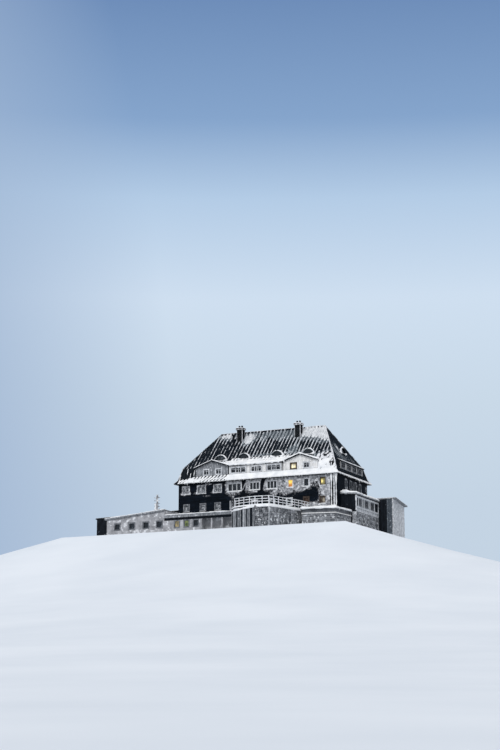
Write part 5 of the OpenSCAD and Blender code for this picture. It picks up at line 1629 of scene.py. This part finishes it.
@dataclass
class Annexes:
    """Fascias, frost crust and roof snow of the annexes, the wing, the porch and the outbuilding."""

    front_y: float = -6.475
    front_x0: float = -6.2
    front_x1: float = -0.25
    left_x0: float = -11.3
    back_y: float = -3.265
    roof_out: float = 0.15
    roof_slope: float = 0.0853
    eave_shade_z: float = 1.07
    platform: tuple[tuple[float, float], ...] = ((4.74, -3.3), (4.74, -5.35), (7.3, -4.84), (7.57, -2.4))
    cell: float = 0.08

    @property
    def edge_y(self) -> float:
        """Y of the annex roofs' front edge."""
        return self.front_y - self.roof_out

    def windows(self) -> list[Opening]:
        """Openings in the front of the two front annexes."""
        return [Opening(x0 + a * (x1 - x0), sill, w, h) for x0, x1, sill, w, h, places in (
            (self.front_x0, self.front_x1, 0.5, 0.44, 0.525, (0.182, 0.321, 0.456)),
            (self.left_x0, self.front_x0, 0.56, 0.51, 0.5, (0.186, 0.437, 0.682, 0.912)))
            for a in places]

    def crust(self) -> None:
        """Driven frost on the annex fronts, thin over the render and bare at the windows."""
        shape, face = Shape(), Face((0.0, self.front_y, 0.0), X_WAY)
        u, v = grid(np.linspace(self.left_x0, -3.05, 190), np.linspace(0.0, 1.83, 42))
        top = np.where(u < self.front_x0, 1.4 + (u - self.left_x0) * self.roof_slope, self.eave_shade_z)
        rim = np.min([w.distance(u, v) for w in self.windows()], axis=0)
        height = 0.016 + 0.014 * cloud(u, v, 0.5, 400) + 0.01 * lattice(u, v, 0.12, 403)
        height = least(height + 0.02 * ramp(v, 0.5, 0.0), 0.8 * (rim - 0.045), 0.8 * (top - v))
        blanket(shape, face.at(u, v), face.normal, height)
        shape.snow("annex_frost", LIME_RENDER, "annex_render")

    def roof_snow(self) -> None:
        """Snow on the flat and the low roofs, rounded off at its edges."""
        shape = Shape()
        sheets = [  # x0, x1, y0, y1, height at x0, height at x1, height step with y, thickness
            (self.front_x0, self.front_x1, self.edge_y, self.back_y, 1.49, 1.49, 0.0, 0.05),
            (self.left_x0 - self.roof_out, self.front_x0, self.edge_y, self.back_y, 1.497, 1.945, 0.0,
             0.045),
            (-14.275, -6.7, -3.225, 0.885, 2.08, 2.315, 0.0, 0.03),
            (6.7, 8.08, -2.455, 2.4, 3.02, 2.9096, 0.0, 0.1),
            (6.93, 9.43, 2.4, 5.03, 3.08, 3.08, -0.136, 0.03),
        ]
        for i, (x0, x1, y0, y1, z0, z1, fall, thick) in enumerate(sheets):
            x, y = grid(np.linspace(x0, x1, int((x1 - x0) / self.cell) + 2),
                        np.linspace(y0, y1, int((y1 - y0) / self.cell) + 2))
            z = z0 + (z1 - z0) * (x - x0) / (x1 - x0) + fall * (y - y0)
            edge = least(x - x0, x1 - x, y - y0, y1 - y)
            height = thick * (1 + 0.5 * cloud(x, y, 0.7, 410 + i) + 0.2 * lattice(x, y, 0.16, 415 + i))
            blanket(shape, xyz(x, y, z), np.array(UP), least(height, 1.2 * edge + 0.008))
        s, line = walk(self.platform, 110)
        tube(shape, xyz(*line.T, 1.54), 0.085 * (1 + 0.3 * cloud(s, 0, 0.5, 430)), 8, (1.0, 1.25))
        x, y = grid(np.linspace(4.72, 7.25, 40), np.linspace(-5.0, -3.28, 30))
        height = least(0.1 + 0.36 * ramp(y, -4.7, -3.3) + 0.06 * cloud(x, y, 0.5, 435),
                       1.5 * least(x - 4.72, 7.25 - x, y + 5.0) + 0.01, np.where(x > 6.74, 0.2, FAR))
        blanket(shape, xyz(x, y, 1.49), np.array(UP), height)
        shape.snow("low_roof_snow", SETTLED_SNOW)

    def fascias(self) -> None:
        """Fascia boards on the front edges of the low roofs, and a dark board on the annex wall under them:
        painted shade of the eaves.
        """
        shape, rime = Shape(), Shape()
        cuts = np.linspace(self.front_x0, self.front_x1, 5)
        # The second row, on the wall itself, is the dark board: painted shade under the roof's overhang.
        for y, rows, out, tone in ((self.edge_y, ((1.255, 1.365), (1.37, 1.48)), 0.012, 0),
                                   (self.front_y, ((self.eave_shade_z, 1.25),), 0.03, 1)):
            boards = [[a + 0.002, c - 0.002, low, high, SHALLOW, out]
                      for a, c in zip(cuts, cuts[1:]) for low, high in rows]
            slabs(shape, Face((0.0, y, 0.0), X_WAY), boards, tone=tone)
        shape.piece("annex_fascia_and_eave_shade", (WEATHERED_LARCH, DARK_LARCH_AND_SHADE), "grey_boards")
        for start, end, count, z, slope, thick, seed in (
                (self.front_x0, self.front_x1, 90, 1.48, 0.0, 0.03, 420),
                (self.left_x0 - self.roof_out, self.front_x0, 80, 1.49, self.roof_slope, 0.022, 421)):
            x = np.linspace(start, end, count)
            tube(rime, xyz(x, self.edge_y + 0.01, z + (x - start) * slope), thick * lumpy(x, 0.3, seed))
        rime.snow("low_roof_edge_rime", HARD_RIME)

    def build(self) -> None:
        """Crust, snow and fascias."""
        self.crust()
        self.roof_snow()
        self.fascias()


def upright(shape: Shape, face: Face, length: float, low: float, tops: tuple[float, float],
            width: float, seed: int, tone: int = 0) -> None:
    """Adds upright boards to a wall whose top rises or falls evenly.

    Args:
        shape: what they are added to.
        face: the wall face, with v as the height.
        length: length of the wall.
        low: height of the boards' feet.
        tops: height of the wall at its start and at its end.
        width: width of a board.
        seed: seed of their small differences.
        tone: number of their finish.
    """
    rng = np.random.default_rng(seed)
    cuts = np.linspace(0, length, max(2, round(length / width) + 1))
    slope = (tops[1] - tops[0]) / length
    slabs(shape, face, [[a + 0.003, b - 0.003, low, tops[0] + slope * (a if slope < 0 else b) - 0.02,
                         SHALLOW, 0.012 + rng.uniform(0, 0.006)] for a, b in zip(cuts, cuts[1:])],
          tone=tone)


@dataclass
class Porch:
    """Boards, posts, beams and frost of the glazed porch, the outbuilding and the rear wing."""

    x0: float = 6.7
    x1: float = 7.95
    y0: float = -2.325
    y1: float = 2.4
    sill_z: float = 1.972
    head_z: float = 2.524
    roof_wall_z: float = 2.9
    roof_fall: float = 0.08
    shed_x: float = 9.18
    shed_back: float = 4.9
    shed_top: float = 2.97
    shed_low: float = 2.66
    shed_fall: float = 0.136
    wing: Triple = (-14.125, -3.225, 0.735)

    @property
    def eave_z(self) -> float:
        """Underside of the roof over the outer wall."""
        return self.roof_wall_z - self.roof_fall * (self.x1 - self.x0)

    def frame_posts(self) -> None:
        """White posts between the openings, the sill band and the beam over them."""
        face, shape = Face((self.x1, 0.0, 0.0), Y_WAY), Shape()
        length = self.y1 - self.y0
        posts = [self.y0 + 0.05]
        for share, width in ((0.175, 0.128), (0.448, 0.178), (0.711, 0.16)):
            posts += around(self.y0 + share * length, width * length / 2 + 0.09)
        posts.append(self.y1 - 0.05)
        top = self.eave_z - 0.09
        slabs(shape, face, [[*around(u, 0.06), 1.6, top, SHALLOW, 0.035] for u in posts], 0.008)
        slabs(shape, face, [[self.y0, self.y1, low, high, SHALLOW, out] for low, high, out in (
            (self.sill_z - 0.2, self.sill_z - 0.05, 0.05), (self.head_z + 0.05, self.head_z + 0.19, 0.045))],
            0.01)
        shape.piece("porch_posts", WINDOW_PAINT, "window_paint")

    def boards(self) -> None:
        """Upright boards on the porch, the outbuilding and the wing, and stones under the porch."""
        porch, stones, shed, wing = Shape(), Shape(), Shape(), Shape()
        y0, long, sill = self.y0, self.y1 - self.y0, self.sill_z - 0.2
        left, down, rake = (-1.0, 0.0, 0.0), (0.0, -1.0, 0.0), (self.roof_wall_z, self.eave_z)
        front, back, (wing_x, wing_y0, wing_y1) = (self.shed_top,) * 2, (self.shed_low,) * 2, self.wing
        for shape, x, y, way, length, low, tops, width, seed, tone in (
                (porch, self.x0, y0, X_WAY, self.x1 - self.x0, 1.6, rake, 0.09, 500, 0),
                (porch, self.x1, y0, Y_WAY, long, 1.52, (sill, sill), 0.09, 501, 1),
                # The front's left stretch, in the corner by the porch, takes the dark boards as painted shade
                # of that corner; the right stretch takes the grey ones.
                (shed, self.x1, self.y1, X_WAY, 0.71, 0.02, front, 0.11, 504, 0),
                (shed, 8.66, self.y1, X_WAY, 0.52, 0.02, front, 0.11, 505, 3),
                (shed, self.shed_x, self.y1, Y_WAY, 2.5, 0.02, (3.0, self.shed_low), 0.11, 506, 2),
                (shed, self.shed_x, self.shed_back, left, 2.25, 0.02, back, 0.11, 507, 0),
                (wing, wing_x, wing_y0, X_WAY, 2.8, 0.02, (1.99, 2.08), 0.12, 508, 0),
                (wing, wing_x, wing_y1, down, 3.96, 0.02, (1.99, 1.99), 0.12, 509, 0),
                (wing, -6.76, wing_y1, left, 7.365, 0.02, (2.22, 1.99), 0.12, 510, 0)):
            upright(shape, Face((x, y, 0.0), way), length, low, tops, width, seed, tone)
        coursed(stones, Face((self.x1, y0, 0.0), Y_WAY), (0, long, 0, 1.5), 0.2, 502, 0.02)
        coursed(stones, Face((7.6375, y0, 0.0), X_WAY), (0, 0.31, 0, 1.5), 0.2, 503, 0.02)
        corner = Face((self.shed_x, self.y1, 0.0), X_WAY)
        slabs(shed, corner, [[-0.07, 0.012, 0.0, 2.98, SHALLOW, 0.03]], 0.01, 2)
        porch.piece("porch_boards", (DARK_LARCH_AND_SHADE, WINDOW_PAINT), "dark_timber")
        stones.piece("porch_stones", SPLIT_GRANITE, "masonry")
        finishes = (DARK_LARCH_AND_SHADE, WEATHERED_LARCH, WINDOW_PAINT, GREYED_LARCH)
        shed.piece("outbuilding_boards", finishes, "dark_timber")
        wing.piece("wing_boards", STAINED_BOARDS, "dark_timber")

    def rime(self) -> None:
        """Thick snow roll on the roof's front edge, rime on its outer edge and on the corners."""
        rime, roll = Shape(), Shape()
        z = np.linspace(1.6, 2.75, 20)
        tube(rime, xyz(self.x1, self.y0, z), 0.045 * lumpy(z, 0.2, 510, 0.4))
        x = np.linspace(6.74, 8.05, 50)
        size = 0.15 * (1 + 0.6 * cloud(x, 0, 0.3, 511)) * (0.5 + 0.65 * ramp(x, 7.9, 7.0))
        tube(roll, xyz(x, self.y0 - 0.02, 3.06 - (x - self.x0) * self.roof_fall), size, 10, (0.8, 1.0))
        y = np.linspace(self.y0 - 0.1, self.y1 - 0.05, 70)
        tube(roll, xyz(self.x1 + 0.09, y, 2.87), 0.05 * lumpy(y, 0.25, 512, 0.4))
        roll.snow("porch_snow_roll", SETTLED_SNOW)
        x = np.linspace(6.95, 9.39, 60)
        tube(rime, xyz(x, 2.42, 3.085), 0.03 * lumpy(x, 0.25, 513, 0.4))
        y = np.linspace(2.42, 5.0, 60)
        tube(rime, xyz(9.385, y, 3.085 - (y - self.y1) * self.shed_fall), 0.025 * lumpy(y, 0.25, 514, 0.4))
        rime.snow("porch_rime", HARD_RIME)

    def build(self) -> None:
        """Posts, boards and rime."""
        self.frame_posts()
        self.boards()
        self.rime()


@dataclass
class Mast:
    """The weather mast under thick rime, with its rungs sticking out."""

    x: float = -7.55
    y: float = -5.225
    foot: float = 1.75
    top: float = 3.3

    def build(self) -> None:
        """A lumpy column and rungs to both sides."""
        shape = Shape()
        z = np.linspace(self.foot, self.top, 50)
        size = 0.095 * (lumpy(z, 0.16, 600, 0.6) + 0.5 * ramp(z, 2.6, 1.9) - 0.3 * ramp(z, 2.7, 3.3))
        tube(shape, xyz(self.x + 0.03 * lattice(z, 0, 0.3, 601), self.y, z), size, 8)
        x = np.linspace(-0.24, 0.24, 12)
        for i, height in enumerate(np.linspace(1.95, 3.1, 6)):
            tube(shape, xyz(self.x + x, self.y, height), 0.035 * lumpy(x, 0.1, 602, 0.6, i))
        shape.snow("mast_rime", CRUST_RIME)


@dataclass
class DoorDress:
    """Planks and a handle on the terrace door; they move with its leaf."""

    x: float = -1.96
    width: float = 0.42
    face_y: float = -3.057
    foot: float = 1.656
    height: float = 1.08

    def build(self) -> None:
        """Five planks, two ledges and the handle."""
        shape, handle = Shape(), Shape()
        face = Face((self.x, self.face_y, 0.0), X_WAY)
        half = self.width / 2 - 0.012
        cuts = np.linspace(-half, half, 6)
        slabs(shape, face, [[a + 0.002, b - 0.002, self.foot + 0.02, self.foot + self.height - 0.02,
                             SHALLOW, 0.008] for a, b in zip(cuts, cuts[1:])], 0.002)
        slabs(shape, face, [[-half, half, self.foot + h, self.foot + h + 0.06, 0.0, 0.016]
                            for h in (0.12, 0.86)], 0.003)
        shape.piece("door_planks", WEATHERED_LARCH, "grey_boards", DOOR)
        turn = np.linspace(0, math.pi, 13)
        path = xyz(self.x + 0.16, self.face_y - 0.012 - 0.03 * np.sin(turn),
                   self.foot + 0.5 + 0.07 * np.cos(turn))
        tube(handle, path, 0.007, 8)
        handle.piece("door_handle", FROSTED_STEEL, "frosted_metal", DOOR, smooth=True)


# CAD finishes, stage


def paint_part(node: str, low: Sequence[float], high: Sequence[float], finish: Finish) -> None:
    """Gives the faces of a CAD node that lie inside a box a finish of their own.

    Args:
        node: name of the node.
        low: least X, Y and Z of a face's middle.
        high: greatest X, Y and Z of it.
        finish: the finish.
    """
    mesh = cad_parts[node].data
    centres = np.zeros(len(mesh.polygons) * 3, np.float32)
    mesh.polygons.foreach_get("center", centres)
    centres = centres.reshape(-1, 3)
    index = np.zeros(len(mesh.polygons), np.int32)
    mesh.polygons.foreach_get("material_index", index)
    mesh.materials.append(finish.material())
    index[((centres > low) & (centres < high)).all(axis=1)] = len(mesh.materials) - 1
    mesh.polygons.foreach_set("material_index", index)
    mesh.update()


def dress_frame() -> None:
    """Gives every CAD node its finish, then the lit panes and other parts theirs."""
    for finish, names in CAD_FINISHES.items():
        for name in names.split():
            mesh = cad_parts[name].data
            mesh.materials.clear()
            mesh.materials.append(finish.material())
            mesh.polygons.foreach_set("material_index", np.zeros(len(mesh.polygons), np.int32))
    for node, x0, x1, z0, z1, finish in FRONT_PARTS:
        paint_part(node, (x0, -9, z0), (x1, 0, z1), finish)
    paint_part("round_dormers", (-4, -2.63, 6.0), (2.2, -2.55, 6.7), FILM_RIME)
    paint_part("terrace_railing", (-0.4, -7.75, 1.6), (0.3, -6.4, 2.5), DARK_LARCH_AND_SHADE)
    for low, high in ((6.3, 15), (-15, -6.3)):
        paint_part("dormer_window_frames", (low, -3, 4.8), (high, 3, 5.6), GREY_PAINT)
        paint_part("wall_window_frames", (low, -3, 1.7), (high, 3, 4.3), GREY_PAINT)


@dataclass
class Stage:
    """Camera, light, sky and the pale floor that falls away below the line of sight."""

    target: Triple = (-0.48, -3.225, 12.645)
    distance: float = 125.0
    azimuth: float = 25.3
    elevation: float = -12.6
    lens: float = 76.3
    sun: float = 1.65
    sun_way: Triple = (-0.12, 0.8, -0.72)
    sky_light: float = 0.66
    fall: float = 0.34
    depth: float = 17.0

    def aimed(self, data: bpy.types.ID, way: Vector) -> bpy.types.Object:
        """An object in the scene with the data, looking along the way."""
        made = bpy.data.objects.new(data.name, data)
        made.rotation_mode = "QUATERNION"
        made.rotation_quaternion = way.to_track_quat("-Z", "Y")
        bpy.context.scene.collection.objects.link(made)
        return made

    def camera(self) -> None:
        """The camera below the house, looking up at the photograph's angle."""
        data = bpy.data.cameras.new("camera")
        data.lens, data.sensor_width = self.lens, 36.0
        data.clip_start, data.clip_end = 1.0, 2000.0
        a, e = math.radians(self.azimuth), math.radians(self.elevation)
        back = Vector((math.sin(a) * math.cos(e), -math.cos(a) * math.cos(e), math.sin(e)))
        made = self.aimed(data, -back)
        made.location = Vector(self.target) + back * self.distance
        bpy.context.scene.camera = made

    def lamp(self) -> None:
        """One wide soft sun from the upper left of the camera."""
        data = bpy.data.lights.new("soft_sun", "SUN")
        data.energy, data.angle = self.sun, math.radians(25)
        self.aimed(data, Vector(self.sun_way))

    def sky(self) -> None:
        """Pale blue seen by the camera and in reflections, even soft white on the object."""
        world = bpy.data.worlds.new("sky")
        world.use_nodes = True
        bpy.context.scene.world = world
        tree = world.node_tree
        tree.nodes.clear()
        rays = add_node(tree, "LightPath").outputs
        shown = maths(tree, "MAXIMUM", rays["Is Camera Ray"], rays["Is Glossy Ray"])
        shown = maths(tree, "MAXIMUM", shown, rays["Is Transmission Ray"])
        way = add_node(tree, "TexCoord").outputs["Generated"]
        across, _, height = add_node(tree, "SeparateXYZ", inputs={0: way}).outputs
        tone = add_node(tree, "ValToRGB", inputs={0: height})
        bands = tone.color_ramp.elements
        bands[0].color, bands[1].color = linear("#c2d1e1"), linear("#5f7eac")
        for place, code in ((0.14, "#c4d4e4"), (0.2, "#c9d9e8"), (0.264, "#cfdff0"), (0.324, "#b4cce6"),
                            (0.37, "#86a5cc"), (0.44, "#6d8cb8")):
            bands.new(place).color = linear(code)
        left = window(tree, across, -0.46, -0.57, 0.0, 0.85)
        tone = mixed(tree, left, tone.outputs[0], linear("#a0b6d3"))
        light, seen = (add_node(tree, "Background", inputs={"Color": colour, "Strength": strength}).outputs[0]
                       for colour, strength in ((linear("#f6f7fa"), self.sky_light), (tone, 1.0)))
        both = add_node(tree, "MixShader", inputs={0: shown, 1: light, 2: seen})
        add_node(tree, "OutputWorld", inputs={"Surface": both.outputs[0]})

    def floor(self) -> None:
        """Level under the building, then falling with the distance from its outline, then level."""
        (x0, y0, _), (x1, y1, _) = CAD_BOX
        ways = ((-160, x0, x1, 40, 30), (-220, y0, y1, 50, 20))
        x, y = grid(*(np.concatenate([np.linspace(start, low - 0.3, before), np.linspace(low, high, under),
                                      np.linspace(high + 0.3, 160, 40)])
                      for start, low, high, before, under in ways))
        out = np.hypot(np.maximum(np.maximum(x0 - x, x - x1), 0), np.maximum(np.maximum(y0 - y, y - y1), 0))
        z = -self.depth * (1 - np.exp(-self.fall * out / self.depth)) - 0.002
        shape = Shape()
        shape.add(xyz(x, y, z), np.stack(cells(x.shape), -1))
        shape.object("floor", PALE_FLOOR, True)

    def build(self) -> None:
        """Everything round the object."""
        self.camera()
        self.sky()
        self.lamp()
        self.floor()


def main() -> None:
    """Builds each sub-assembly in turn and reports it."""
    logging.basicConfig(level=logging.INFO, format="%(name)s: %(message)s")
    bpy.context.scene.view_settings.view_transform = "Standard"
    block = Block()
    dress_frame()
    for part in (BoardedWalls(block), WallRime(block), RoofSeams(block), RoofSnow(block),
                 DormerBoards(block), Masonry(block), Terrace(), Annexes(), Porch(), Mast(), DoorDress(),
                 Stage()):
        part.build()
        log.info("built %s", type(part).__name__)


if __name__ == "__main__":
    main()
